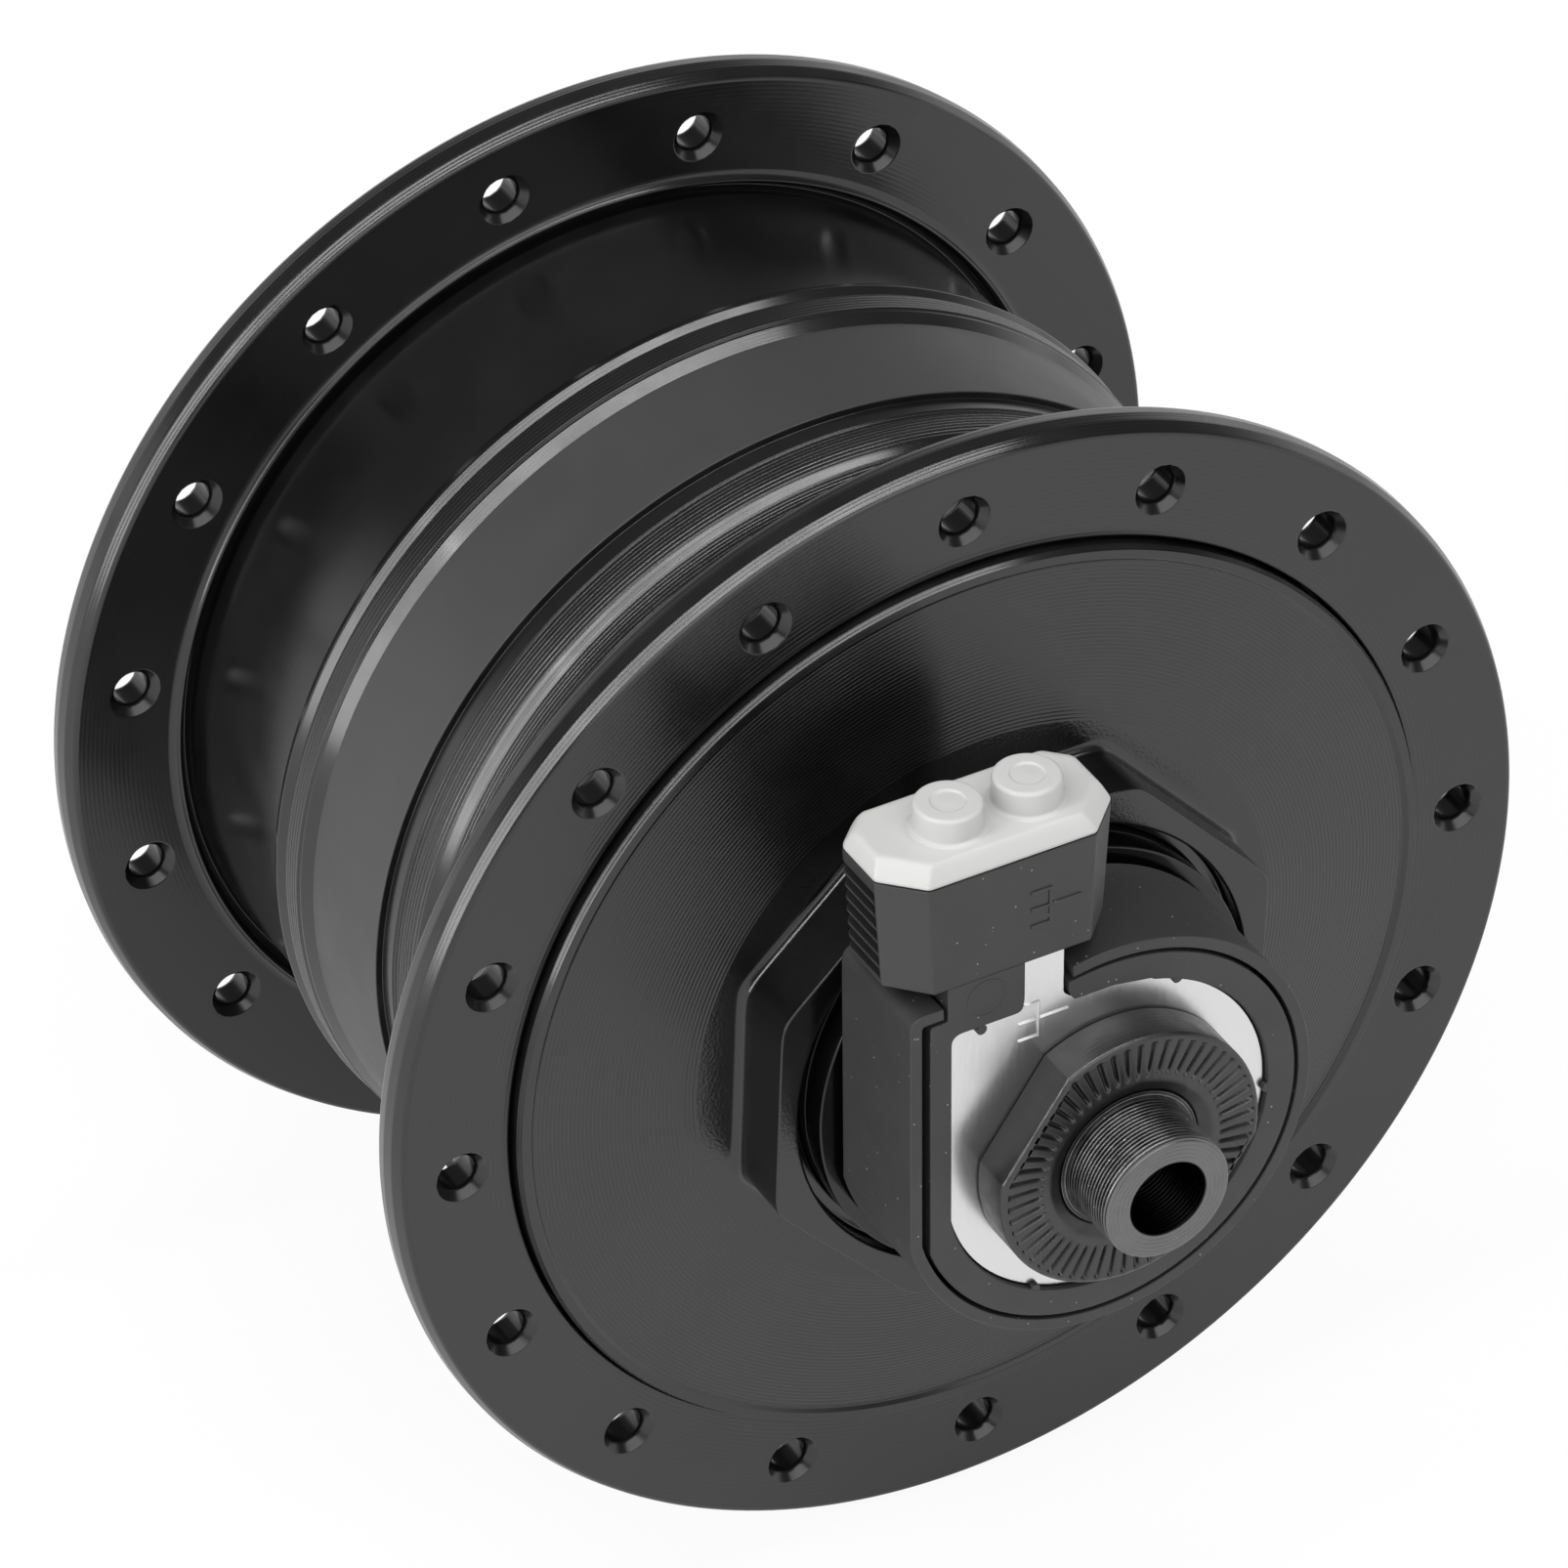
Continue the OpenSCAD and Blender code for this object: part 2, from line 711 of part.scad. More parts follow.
module earth_plate() {
  color(bright_steel) difference() {
    prism(y_plate, y_right_spacer) window_outline(0.1);
    ring(axle_r + seat_play, 0, y_plate - 1, y_right_spacer + 1);
  }
}

module live_contact() {
  color(brass_metal) {
    block([live_x - live_w / 2, y_live, z_live], [live_x + live_w / 2, y_live + live_t, z_blade]);
    block([live_x, y_live, z_live], [lead_r, y_live + live_t, z_live + live_w]);
  }
}

// The shell's half section, from the cap's seat outwards, round and back through the bore
function shell_section() = concat(
  [[seat_r, face_right]],
  arc([flange_r - rim_round, face_right + rim_round], rim_round, rim_round, -90, 0, 5),
  arc([flange_r - rim_round, y_back - rim_round], rim_round, rim_round, 0, 90, 5),
  arc([flare_r, y_waist], flare_r - waist_r, flare_length, -90, -180, 8),
  [[waist_r, y_ridge - 1.1], [land_r, y_ridge], [land_r, y_band_front - 1.5],
   [land_r + 0.12, y_band_front - 1.45], [land_r + 0.12, y_band_front - 0.1],
   [barrel_r, y_band_front], [barrel_r, y_band_rear], [shoulder_r - 0.05, y_chamfer]],
  arc([shoulder_r - 0.6, y_shoulder - 0.6], 0.6, 0.6, 0, 60, 4),
  [[neck_r, y_shoulder + neck_drop + 0.5], [neck_r, face_left + recess_depth - 0.2],
   [neck_r + 0.2, face_left + recess_depth]],
  arc([recess_r + 0.7, face_left + 0.7], 0.7, 0.7, -180, -90, 4),
  arc([flange_r - rim_round, face_left + rim_round], rim_round, rim_round, -90, 0, 5),
  arc([flange_r - rim_round, y_outer_left - rim_round], rim_round, rim_round, 0, 90, 5),
  arc([recess_r, y_disc_stop - 3.7], recess_r - disc_stop_r - 0.9,
      y_disc_stop - 3.7 - y_outer_left, -90, -180, 8),
  [[disc_stop_r, y_disc_stop - 2.9], [disc_stop_r, y_disc_stop], [spline_root_r, y_disc_stop],
   [spline_root_r, y_left_end - 0.4], [spline_root_r - 0.4, y_left_end],
   [lockring_r + 0.3, y_left_end], [lockring_r, y_left_end - 0.3],
   [lockring_r, y_left_balls + cup_length - cup_lip], [cup_r, y_left_balls + cup_length - cup_lip],
   [cup_r, y_left_balls - cup_lip], [cup_r - 1.5, y_left_balls - cup_lip],
   [cup_r - 1.5, y_left_balls - cup_lip - 2], [neck_bore_r, face_left - 2.5],
   [neck_bore_r, y_stop], [bore_r, y_stop], [bore_r, y_spigot], [spigot_r, y_spigot],
   [spigot_r, y_seat], [seat_r, y_seat]]
);

module hub_shell() {
  tooth = 360 / spline_teeth;
  color(black_metal) difference() {
    union() {
      turned(shell_section());
      prism(y_disc_stop, y_left_end - 0.4) difference() {
        circle(r = spline_r);
        circle(r = spline_root_r - 0.2);
        for (i = [0:spline_teeth - 1]) rotate(i * tooth)
          translate([spline_root_r, -1.5]) square([spline_h + 1, 3]);
      }
    }
    spoke_holes(face_right, y_back, spoke_turn);
    spoke_holes(face_left, y_outer_left, spoke_turn + 180 / spoke_count);
  }
}

// The eight-sided boss between two levels, grown outwards
module boss_outline(y0, y1, grow) {
  prism(y0, y1) rotate(boss_turn + 22.5) circle(r = boss_flats / 2 / cos(22.5) + grow, $fn = 8);
}

module end_cap() {
  color(black_metal) difference() {
    union() {
      turned([
        [0, y_cap_in], [spigot_r - 1.6, y_cap_in], [spigot_r - 1.6, y_spigot - 0.1],
        [spigot_r - seat_play, y_spigot - 0.1], [spigot_r - seat_play, y_seat],
        [cap_r, y_seat], [cap_r, y_cap_rim + 0.3], [cap_r - 0.3, y_cap_rim],
        [cap_r - 0.8, y_cap_rim], [cap_r - 1.1, y_cap_rim + 0.2],
        [boss_ring_d / 2, y_boss_foot], [0, y_boss_foot]
      ]);
      boss_outline(y_boss, y_boss_foot + 0.5, 0);
      hull() {
        boss_outline(y_boss_foot + 0.1, y_boss_foot + 0.2, boss_fillet + 0.1);
        boss_outline(y_boss_foot - boss_fillet - 0.05, y_boss_foot - boss_fillet, -0.05);
      }
    }
    turned([
      [0, y_boss - 1], [boss_opening_d / 2, y_boss - 1], [boss_opening_d / 2, y_seal_seat - seal_t],
      [seal_r, y_seal_seat - seal_t], [seal_r, y_seal_seat], [cup_r, y_seal_seat],
      [cup_r, y_right_balls + cup_lip], [cup_r - 1.2, y_right_balls + cup_lip],
      [cup_r - 1.2, y_cap_in + 1], [0, y_cap_in + 1]
    ]);
    ring(o_ring_centre + o_ring_r + 0.1, o_ring_centre - o_ring_r - 0.1,
         y_seat - o_ring_d, y_seat + 1);
  }
}

module cap_o_ring() {
  color(soft_rubber) rotate([-90, 0, 0]) rotate_extrude()
    translate([o_ring_centre, y_seat - o_ring_r]) circle(r = o_ring_r - seat_play, $fn = 32);
}

module right_seal() {
  inner = cone_r + turn_play;
  color(soft_rubber) turned([
    [inner, y_seal_seat - seal_t], [seal_r - seat_play, y_seal_seat - seal_t],
    [seal_r - seat_play, y_seal_seat - 0.05], [cup_r - 0.5, y_seal_seat - 0.05],
    [inner, y_seal_seat - seal_t + 0.5]
  ]);
}

module left_seal() {
  inner = cone_r + turn_play;
  y0 = y_left_balls + cup_length - cup_lip;
  color(soft_rubber) turned([
    [inner, y0 + seal_t], [lockring_r - seat_play, y0 + seal_t],
    [lockring_r - seat_play, y0 + 0.05], [cup_r - 0.5, y0 + 0.05], [inner, y0 + seal_t - 0.5]
  ]);
}

module magnet_yoke() {
  color(zinc_steel) ring(yoke_out_r, yoke_in_r, y_magnet, y_stop);
}

module magnet_segments() {
  sweep = 360 / magnet_parts - magnet_split;
  color(ferrite) rotate([-90, 0, 0]) for (i = [0:magnet_parts - 1])
    rotate([0, 0, i * 360 / magnet_parts]) rotate_extrude(angle = sweep)
      translate([magnet_in_r, y_magnet]) square([magnet_t, magnet_length]);
}

// Outline of the plug seen from above, with cut corners, drawn about its centre
module plug_outline(inset) {
  a = cover_half - inset * 0.7;
  front = inset - plug_d / 2;
  rear = plug_d / 2 - inset * 0.4;
  f = front_corner - inset * 0.2;
  r = rear_corner;
  polygon([[-a, front + f], [f - a, front], [a - f, front], [a, front + f],
           [a, rear - r], [a - r, rear], [r - a, rear], [-a, rear - r]]);
}

module on_plug(z) {
  translate([plug_x, y_plug + plug_d / 2, z]) children();
}

module plug_cover() {
  foot = cover_half - plug_taper;
  p = slide_play;
  color(black_plastic) difference() {
    intersection() {
      on_plug(z_seat) linear_extrude(height = cover_h) plug_outline(0);
      prism(y_plug - 1, y_plug + plug_d + 1) translate([plug_x, z_seat])
        polygon([[-foot, 0], [foot, 0], [cover_half, cover_h], [-cover_half, cover_h]]);
    }
    for (side = [-1, 1]) for (i = [0:rib_count - 1])
      translate([plug_x + side * (foot + plug_taper * (i + 0.9) * rib_pitch / cover_h + 0.5),
                 y_plug + front_corner + 0.2, z_seat + 0.5 + (i + 0.25) * rib_pitch])
        translate([side > 0 ? -0.5 - rib_depth : -0.5, 0, 0])
          cube([1 + rib_depth, plug_d, rib_pitch / 2]);
    block([live_x - live_w / 2 - p, y_live - p, z_seat - 1],
          [live_x + live_w / 2 + p, y_live + live_t + contact_t + 2 * p, z_blade + p]);
    block([tab_x - tab_w / 2 - p, y_plate - p, z_seat - 1],
          [tab_x + tab_w / 2 + p, y_plate + plate_t + contact_t + 2 * p, z_blade + p]);
    on_plug(z_cover_top - tongue_h - p)
      translate([-tongue_w / 2 - p, -tongue_d / 2 - p, 0])
        cube([tongue_w + 2 * p, tongue_d + 2 * p, tongue_h + 1]);
  }
}

module plug_contacts() {
  p = slide_play;
  color(brass_metal) for (c = [[live_x, live_w, y_live + live_t], [tab_x, tab_w, y_plate + plate_t]])
    block([c[0] - c[1] / 2, c[2] + p, z_seat + 0.5],
          [c[0] + c[1] / 2, c[2] + p + contact_t, z_blade]);
}

module plug_cap() {
  color(pale_plastic) {
    hull() {
      on_plug(z_cover_top) linear_extrude(height = 0.2) plug_outline(0.05);
      on_plug(z_cover_top + plug_cap_h - 0.1) linear_extrude(height = 0.1)
        plug_outline(plug_cap_bevel);
    }
    for (side = [-1, 1]) on_plug(z_cover_top + plug_cap_h - 0.05)
      translate([side * nub_gap / 2 + 0.35, -0.2, 0]) cylinder(h = nub_h + 0.05, d = nub_d, $fn = 48);
    on_plug(z_cover_top - tongue_h)
      translate([-tongue_w / 2, -tongue_d / 2, 0]) cube([tongue_w, tongue_d, tongue_h + 0.1]);
  }
}

axle();
right_cone();
left_cone();
right_spacer();
left_spacer();
right_locknut();
left_locknut();
right_dust_disc();
left_dust_disc();
stator_core();
right_claw_ring();
left_claw_ring();
coil_bobbin();
coil_winding();
stator_nut();
coil_lead();
terminal_case();
terminal_block();
earth_plate();
live_contact();
hub_shell();
end_cap();
cap_o_ring();
right_cup();
left_cup();
right_seal();
left_seal();
magnet_yoke();
magnet_segments();
right_balls();
right_cage();
left_balls();
left_cage();
plug_cover();
plug_contacts();
plug_cap();
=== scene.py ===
"""Visual model of a bicycle's hub dynamo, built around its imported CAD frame.

The axle lies along Y with the electrical plug at -Y, and +Z is the way the plug pulls off.
Sizes in the classes are in millimetres, measured in the CAD frame; meshes are in metres.
"""
from __future__ import annotations

import logging
import math
from dataclasses import dataclass, field
from enum import Enum
from functools import cached_property

import bmesh
import bpy
import numpy as np
from bpy.types import ID, Material, Mesh, Node, NodeSocket, NodeTree, Object, World
from mathutils import Matrix

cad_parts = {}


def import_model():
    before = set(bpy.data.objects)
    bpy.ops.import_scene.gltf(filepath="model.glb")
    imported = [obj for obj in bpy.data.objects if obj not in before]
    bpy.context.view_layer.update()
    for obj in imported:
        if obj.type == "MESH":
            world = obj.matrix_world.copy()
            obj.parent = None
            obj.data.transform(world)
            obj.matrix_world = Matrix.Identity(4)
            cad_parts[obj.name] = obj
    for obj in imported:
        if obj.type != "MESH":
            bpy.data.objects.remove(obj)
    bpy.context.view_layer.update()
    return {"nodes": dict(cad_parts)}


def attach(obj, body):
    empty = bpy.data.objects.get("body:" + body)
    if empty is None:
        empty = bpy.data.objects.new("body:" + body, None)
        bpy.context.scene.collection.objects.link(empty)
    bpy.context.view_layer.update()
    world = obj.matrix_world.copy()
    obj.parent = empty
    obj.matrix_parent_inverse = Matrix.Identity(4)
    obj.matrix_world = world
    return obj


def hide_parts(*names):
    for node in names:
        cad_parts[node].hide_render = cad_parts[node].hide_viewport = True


LOG = logging.getLogger("hub_dynamo")
MM = 0.001
MERGE = 2e-6  # metres; points closer together than this become one
QUARTER = math.pi / 2
Array = np.ndarray
Pair = tuple[float, float]
Corner = tuple[float, float, float]
Term = NodeSocket | float


class Body(Enum):
    """The CAD bodies that the new pieces ride on."""

    AXLE = "axle_assembly"
    HUB = "hub_body"
    PLUG = "plug"
    CAP = "cap"


# ---------------------------------------------------------------------------
# Curves and surfaces


def rounded(corners: list[Corner], steps: int = 5, closed: bool = False) -> Array:
    """Rounds the corners of a flat path.

    Each corner P with radius R is swapped for the quadratic curve
    (1-s)^2 A + 2s(1-s) P + s^2 B, where A and B lie R tan(t/2) from P along its two
    sides and t is the angle the path turns through there.

    Args:
        corners: first coordinate, second coordinate and radius of each corner.
        steps: pieces of each curve.
        closed: whether the path runs back to its first corner.
    Returns:
        Points of the path, one a row.
    """
    path: list[Array] = []
    count = len(corners)
    for i, (a, b, radius) in enumerate(corners):
        here = np.array([a, b])
        if radius <= 0 or (not closed and i in (0, count - 1)):
            path.append(here[None])
            continue
        before = np.array(corners[i - 1][:2]) - here
        after = np.array(corners[(i + 1) % count][:2]) - here
        long_before, long_after = np.linalg.norm(before), np.linalg.norm(after)
        before, after = before / long_before, after / long_after
        turn = math.pi - math.acos(float(np.clip(before @ after, -1, 1)))
        reach = min(radius * math.tan(turn / 2), 0.49 * long_before, 0.49 * long_after)
        s = np.linspace(0, 1, steps + 1)[:, None]
        start, end = here + before * reach, here + after * reach
        path.append((1 - s) ** 2 * start + 2 * s * (1 - s) * here + s**2 * end)
    return np.concatenate(path)


def ellipse(centre: Pair, axes: Pair, start: float, end: float, count: int) -> Array:
    """Points of an ellipse's arc, (a cos t, b sin t) round its centre, t in degrees."""
    t = np.radians(np.linspace(start, end, count))
    return np.stack([centre[0] + axes[0] * np.cos(t), centre[1] + axes[1] * np.sin(t)], 1)


def on_circle(count: int) -> Array:
    """Angles of even steps round a circle, 2 pi k / count."""
    return np.arange(count) * 2 * math.pi / count


def spins(first: float, count: int) -> list[Pair]:
    """Cosine and sine of each of the even steps round a circle, from the angle first."""
    return [(math.cos(a), math.sin(a)) for a in first + on_circle(count)]


def polar(radii: Array, places: Array, angles: Array) -> Array:
    """Rings about the axle: a point at angle a from +Z towards +X is (r sin a, y, r cos a)."""
    return np.stack([radii * np.sin(angles), places + 0 * angles, radii * np.cos(angles)], -1)


def turned(profile: Array, angles: Array) -> Array:
    """Turns a profile of (radius, place along the axle) about the axle."""
    return polar(profile[:, 0, None], profile[:, 1, None], angles)


def at_height(loop: Array, height: float) -> Array:
    """Gives all points of a flat loop the same third coordinate."""
    return np.concatenate([loop, np.full((len(loop), 1), height)], 1)


def resampled(loop: Array, spacing: float) -> Array:
    """Puts extra points on a closed flat loop so that no side is longer than spacing."""
    rows = []
    for here, there in zip(loop, np.roll(loop, -1, 0)):
        parts = max(1, int(math.ceil(np.linalg.norm(there - here) / spacing)))
        rows.append(here + (there - here) * np.arange(parts)[:, None] / parts)
    return np.concatenate(rows)


def inset(loop: Array, by: float) -> Array:
    """Moves each point of a closed flat loop inwards along its two sides' mean normal.

    The step is by / cos(half the turn), kept under twice by, so that sides move by `by`.
    """
    ahead = np.roll(loop, -1, 0)
    area = np.sum(loop[:, 0] * ahead[:, 1] - ahead[:, 0] * loop[:, 1])
    side = ahead - loop
    side /= np.maximum(np.linalg.norm(side, axis=1, keepdims=True), 1e-9)
    normal = np.stack([-side[:, 1], side[:, 0]], 1) * np.sign(area)
    mean = normal + np.roll(normal, 1, 0)
    mean /= np.maximum(np.linalg.norm(mean, axis=1, keepdims=True), 1e-9)
    lean = np.clip(np.sum(mean * normal, 1, keepdims=True), 0.5, 1)
    return loop + mean * by / lean


class Skin:
    """Gathers nets of points, in millimetres, into one closed mesh."""

    def __init__(self) -> None:
        """Starts with no points."""
        self.points: list[Array] = []
        self.marks: list[Array] = []
        self.corners: list[Array] = []
        self.sizes: list[Array] = []
        self.count = 0

    def add(self, points: Array, faces: Array, mark: Array | float) -> None:
        """Adds points and faces that all have the same number of corners."""
        flat = points.reshape(-1, 3)
        self.points.append(flat)
        self.marks.append(np.broadcast_to(mark, points.shape[:-1]).reshape(-1))
        self.corners.append((faces + self.count).reshape(-1))
        self.sizes.append(np.full(len(faces), faces.shape[1]))
        self.count += len(flat)

    def net(self, rings: Array, closed: bool = False, mark: Array | float = 0.0,
            capped: bool = False) -> None:
        """Adds a net of quads over closed rings of points.

        Args:
            rings: rings x points x 3.
            closed: joins the last ring to the first.
            mark: strength of the turning marks, or of the painted slot shade on plastic, a
                number or one for each ring or point.
            capped: closes the first and the last ring with a flat face each.
        """
        rows, columns = rings.shape[:2]
        i = np.arange(rows if closed else rows - 1)[:, None]
        j = np.arange(columns)[None]
        up, on = (i + 1) % rows, (j + 1) % columns
        quads = [i * columns + j, i * columns + on, up * columns + on, up * columns + j]
        self.add(rings, np.stack(quads, -1).reshape(-1, 4), mark)
        if capped:
            for loop in (rings[0], rings[-1]):
                self.add(loop, np.arange(len(loop))[None], 0.0)

    def block(self, loop: Array, low: float, high: float, edge: float) -> None:
        """Adds an outline in X and Z drawn out along Y, with rounded edges.

        The rings are the outline moved in by edge (1 - cos t) at places
        low + edge (1 - sin t) and high - edge (1 - sin t).

        Args:
            loop: the outline, x and z a row.
            low: lowest place along Y.
            high: highest place.
            edge: radius of the rounded edges.
        """
        t = np.linspace(QUARTER, 0, 4)
        moves, rises = edge * (1 - np.cos(t)), edge * (1 - np.sin(t))
        rings = [*zip(moves, low + rises), *zip(moves[::-1], high - rises[::-1])]
        stack = np.stack([at_height(inset(loop, move), y)[:, [0, 2, 1]] for move, y in rings])
        self.net(stack, capped=True)

    def piece(self, node: str, how: str, body: Body, finish: Material) -> Object:
        """Makes the mesh, gives it area-weighted normals and puts it on its body.

        Args:
            node: the CAD node that it replaces.
            how: how it is made, which ends the piece's name.
            body: the body that it rides on.
            finish: its material.
        Returns:
            The new object.
        """
        name = f"{node}_{how}"
        mesh = bpy.data.meshes.new(name)
        points, corners, sizes = map(np.concatenate, (self.points, self.corners, self.sizes))
        mesh.vertices.add(len(points))
        mesh.vertices.foreach_set("co", (points * MM).astype(np.float32).ravel())
        mesh.loops.add(len(corners))
        mesh.loops.foreach_set("vertex_index", corners.astype(np.int32))
        mesh.polygons.add(len(sizes))
        starts = np.cumsum(sizes) - sizes
        mesh.polygons.foreach_set("loop_start", starts.astype(np.int32))
        marks = mesh.attributes.new("marks", "FLOAT", "POINT")
        marks.data.foreach_set("value", np.concatenate(self.marks).astype(np.float32))
        mesh.update(calc_edges=True)
        mesh.validate()
        joined = bmesh.new()
        joined.from_mesh(mesh)
        bmesh.ops.remove_doubles(joined, verts=joined.verts, dist=MERGE)
        bmesh.ops.dissolve_degenerate(joined, edges=joined.edges, dist=MERGE / 4)
        bmesh.ops.recalc_face_normals(joined, faces=joined.faces)
        joined.to_mesh(mesh)
        joined.free()
        mesh.polygons.foreach_set("use_smooth", np.ones(len(mesh.polygons), bool))
        mesh.normals_split_custom_set_from_vertices(area_normals(mesh))
        mesh.materials.append(finish)
        thing = bpy.data.objects.new(name, mesh)
        bpy.context.scene.collection.objects.link(thing)
        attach(thing, body.value)
        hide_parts(node)
        LOG.info("%s: %d faces on %s", name, len(mesh.polygons), body.value)
        return thing


def area_normals(mesh: Mesh) -> list[Corner]:
    """Normals at the points of a mesh: the sum of the faces' normals times their areas."""
    faces, corners = len(mesh.polygons), len(mesh.loops)
    normal, area = np.zeros(faces * 3, np.float32), np.zeros(faces, np.float32)
    total, vertex = np.zeros(faces, np.int32), np.zeros(corners, np.int32)
    mesh.polygons.foreach_get("normal", normal)
    mesh.polygons.foreach_get("area", area)
    mesh.polygons.foreach_get("loop_total", total)
    mesh.loops.foreach_get("vertex_index", vertex)
    weighted = np.repeat(normal.reshape(-1, 3) * area[:, None], total, axis=0)
    sums = np.zeros((len(mesh.vertices), 3))
    np.add.at(sums, vertex, weighted)
    sums /= np.maximum(np.linalg.norm(sums, axis=1, keepdims=True), 1e-20)
    return [tuple(row) for row in sums.tolist()]


# ---------------------------------------------------------------------------
# Finishes


def linear(code: str) -> tuple[float, float, float, float]:
    """Turns an sRGB hex colour such as "#1c1c1d" into linear RGBA."""
    parts = [int(code[i : i + 2], 16) / 255 for i in (1, 3, 5)]
    red, green, blue = [
        c / 12.92 if c <= 0.04045 else ((c + 0.055) / 1.055) ** 2.4 for c in parts]
    return red, green, blue, 1.0


def fill(node: Node, values: dict) -> None:
    """Sets or links a node's inputs and sets its properties.

    Args:
        node: the node.
        values: inputs, by name or number, and properties, by name, to what they get: a
            socket is linked to its input, and anything else is set.
    """
    for key, value in values.items():
        if isinstance(value, NodeSocket):
            node.id_data.links.new(value, node.inputs[key])
        elif isinstance(key, int) or key in node.inputs:
            node.inputs[key].default_value = value
        else:
            setattr(node, key, value)


def add_node(tree: NodeTree, kind: str, values: dict | None = None) -> Node:
    """Adds a node, its type named without the "ShaderNode" prefix, and fills it in."""
    node = tree.nodes.new("ShaderNode" + kind)
    fill(node, values or {})
    return node


def emptied(data: Material | World) -> NodeTree:
    """Turns on the nodes of a new material or world and clears them away."""
    data.use_nodes = True
    data.node_tree.nodes.clear()
    return data.node_tree


class Sums:
    """Sums of nodes in one tree."""

    def __init__(self, tree: NodeTree) -> None:
        """Takes the tree that the nodes go in."""
        self.tree = tree

    def math(self, operation: str, a: Term, b: Term = 0.0) -> NodeSocket:
        """One math node on two sockets or numbers."""
        return add_node(self.tree, "Math", {"operation": operation, 0: a, 1: b}).outputs[0]

    def plus(self, a: Term, b: Term) -> NodeSocket:
        """The sum a + b."""
        return self.math("ADD", a, b)

    def minus(self, a: Term, b: Term) -> NodeSocket:
        """The difference a - b."""
        return self.math("SUBTRACT", a, b)

    def times(self, a: Term, b: Term) -> NodeSocket:
        """The product a b."""
        return self.math("MULTIPLY", a, b)

    def ramp(self, value: NodeSocket, low: float, high: float,
             to_low: float = 0.0, to_high: float = 1.0) -> NodeSocket:
        """Maps a value smoothly from one range to another, held at the ends."""
        return add_node(self.tree, "MapRange", {
            "interpolation_type": "SMOOTHSTEP", "Value": value, "From Min": low,
            "From Max": high, "To Min": to_low, "To Max": to_high}).outputs[0]


class Pattern(Sums):
    """Patterns on one material, in millimetres of the object's own space."""

    def __init__(self, tree: NodeTree) -> None:
        """Starts from the object's coordinates."""
        super().__init__(tree)
        place = add_node(tree, "TexCoord").outputs["Object"]
        self.place = self.vector("SCALE", {0: place, "Scale": 1 / MM})

    def vector(self, operation: str, values: dict) -> NodeSocket:
        """One vector math node."""
        return add_node(self.tree, "VectorMath", {"operation": operation, **values}).outputs[0]

    @cached_property
    def xyz(self) -> tuple[NodeSocket, ...]:
        """The coordinates one by one."""
        return tuple(add_node(self.tree, "SeparateXYZ", {0: self.place}).outputs)

    @cached_property
    def radius(self) -> NodeSocket:
        """Distance from the axle's axis."""
        x, _, z = self.xyz
        return self.math("SQRT", self.plus(self.times(x, x), self.times(z, z)))

    @cached_property
    def along(self) -> NodeSocket:
        """Radius + place, so that faces, cones and cylinders all show the lathe marks."""
        return self.plus(self.radius, self.xyz[1])

    @cached_property
    def marks(self) -> NodeSocket:
        """Strength of the marks, from the mesh's attribute."""
        return add_node(self.tree, "Attribute", {"attribute_name": "marks"}).outputs["Fac"]

    def noise(self, size: float, detail: float = 3.0, along_z: float = 1.0) -> NodeSocket:
        """Noise from 0 to 1 whose features are about `size` mm, longer up Z if along_z < 1."""
        where = self.place
        if along_z != 1:
            where = self.vector("MULTIPLY", {0: where, 1: (1, 1, along_z)})
        return add_node(self.tree, "TexNoise", {
            "Vector": where, "Scale": 1 / size, "Detail": detail, "Roughness": 0.55}).outputs[0]

    def specks(self, spacing: float, size: float) -> NodeSocket:
        """Sparse round specks: 1 within `size` mm of random points, one per `spacing` mm cube."""
        dots = add_node(self.tree, "TexVoronoi", {"Vector": self.place, "Scale": 1 / spacing})
        return self.ramp(dots.outputs["Distance"], size / spacing, 0.5 * size / spacing)

    def crests(self, pitch: float) -> NodeSocket:
        """Thin lines, one on each crest between two lathe marks `pitch` mm apart."""
        part = self.math("FRACT", self.times(self.along, 1 / pitch))
        return self.ramp(self.math("ABSOLUTE", self.minus(part, 0.5)), 0.28, 0.46)

    def feed(self, pitch: float) -> NodeSocket:
        """Lathe marks `pitch` mm apart: scallops (2 f - 1)^2, f the fraction of a turn's feed.

        Half as much noise along the same line makes some cuts deeper than others.
        """
        part = self.math("FRACT", self.times(self.along, 1 / pitch))
        from_crest = self.math("ABSOLUTE", self.minus(self.times(part, 2.0), 1.0))
        noise = add_node(self.tree, "TexNoise", {
            "noise_dimensions": "1D", "W": self.along, "Scale": 1 / (1.7 * pitch), "Detail": 2.0})
        return self.plus(self.math("POWER", from_crest, 2.0), self.times(noise.outputs[0], 0.5))

    def bump(self, height: NodeSocket, depth: float, strength: Term = 1.0,
             on: NodeSocket | None = None) -> NodeSocket:
        """A bump whose full height is `depth` mm, on the geometry or on another bump."""
        return add_node(self.tree, "Bump", {
            "Height": height, "Distance": depth * MM, "Filter Width": 0.1, "Strength": strength,
            **({"Normal": on} if on else {})}).outputs[0]

    def over(self, below: NodeSocket | str, above: str, share: NodeSocket) -> NodeSocket:
        """Lays an sRGB colour over another colour, by a share from 0 to 1."""
        base = linear(below) if isinstance(below, str) else below
        values = {"data_type": "RGBA", 0: share, 6: base, 7: linear(above)}
        return add_node(self.tree, "Mix", values).outputs[2]

    def outwards(self) -> NodeSocket:
        """The direction across the lathe marks: normal x (axle x place), for stretched gloss."""
        around = self.vector("CROSS_PRODUCT", {0: (0, 1, 0), 1: self.place})
        normal = add_node(self.tree, "NewGeometry").outputs["Normal"]
        return self.vector("NORMALIZE", {0: self.vector("CROSS_PRODUCT", {0: around, 1: normal})})


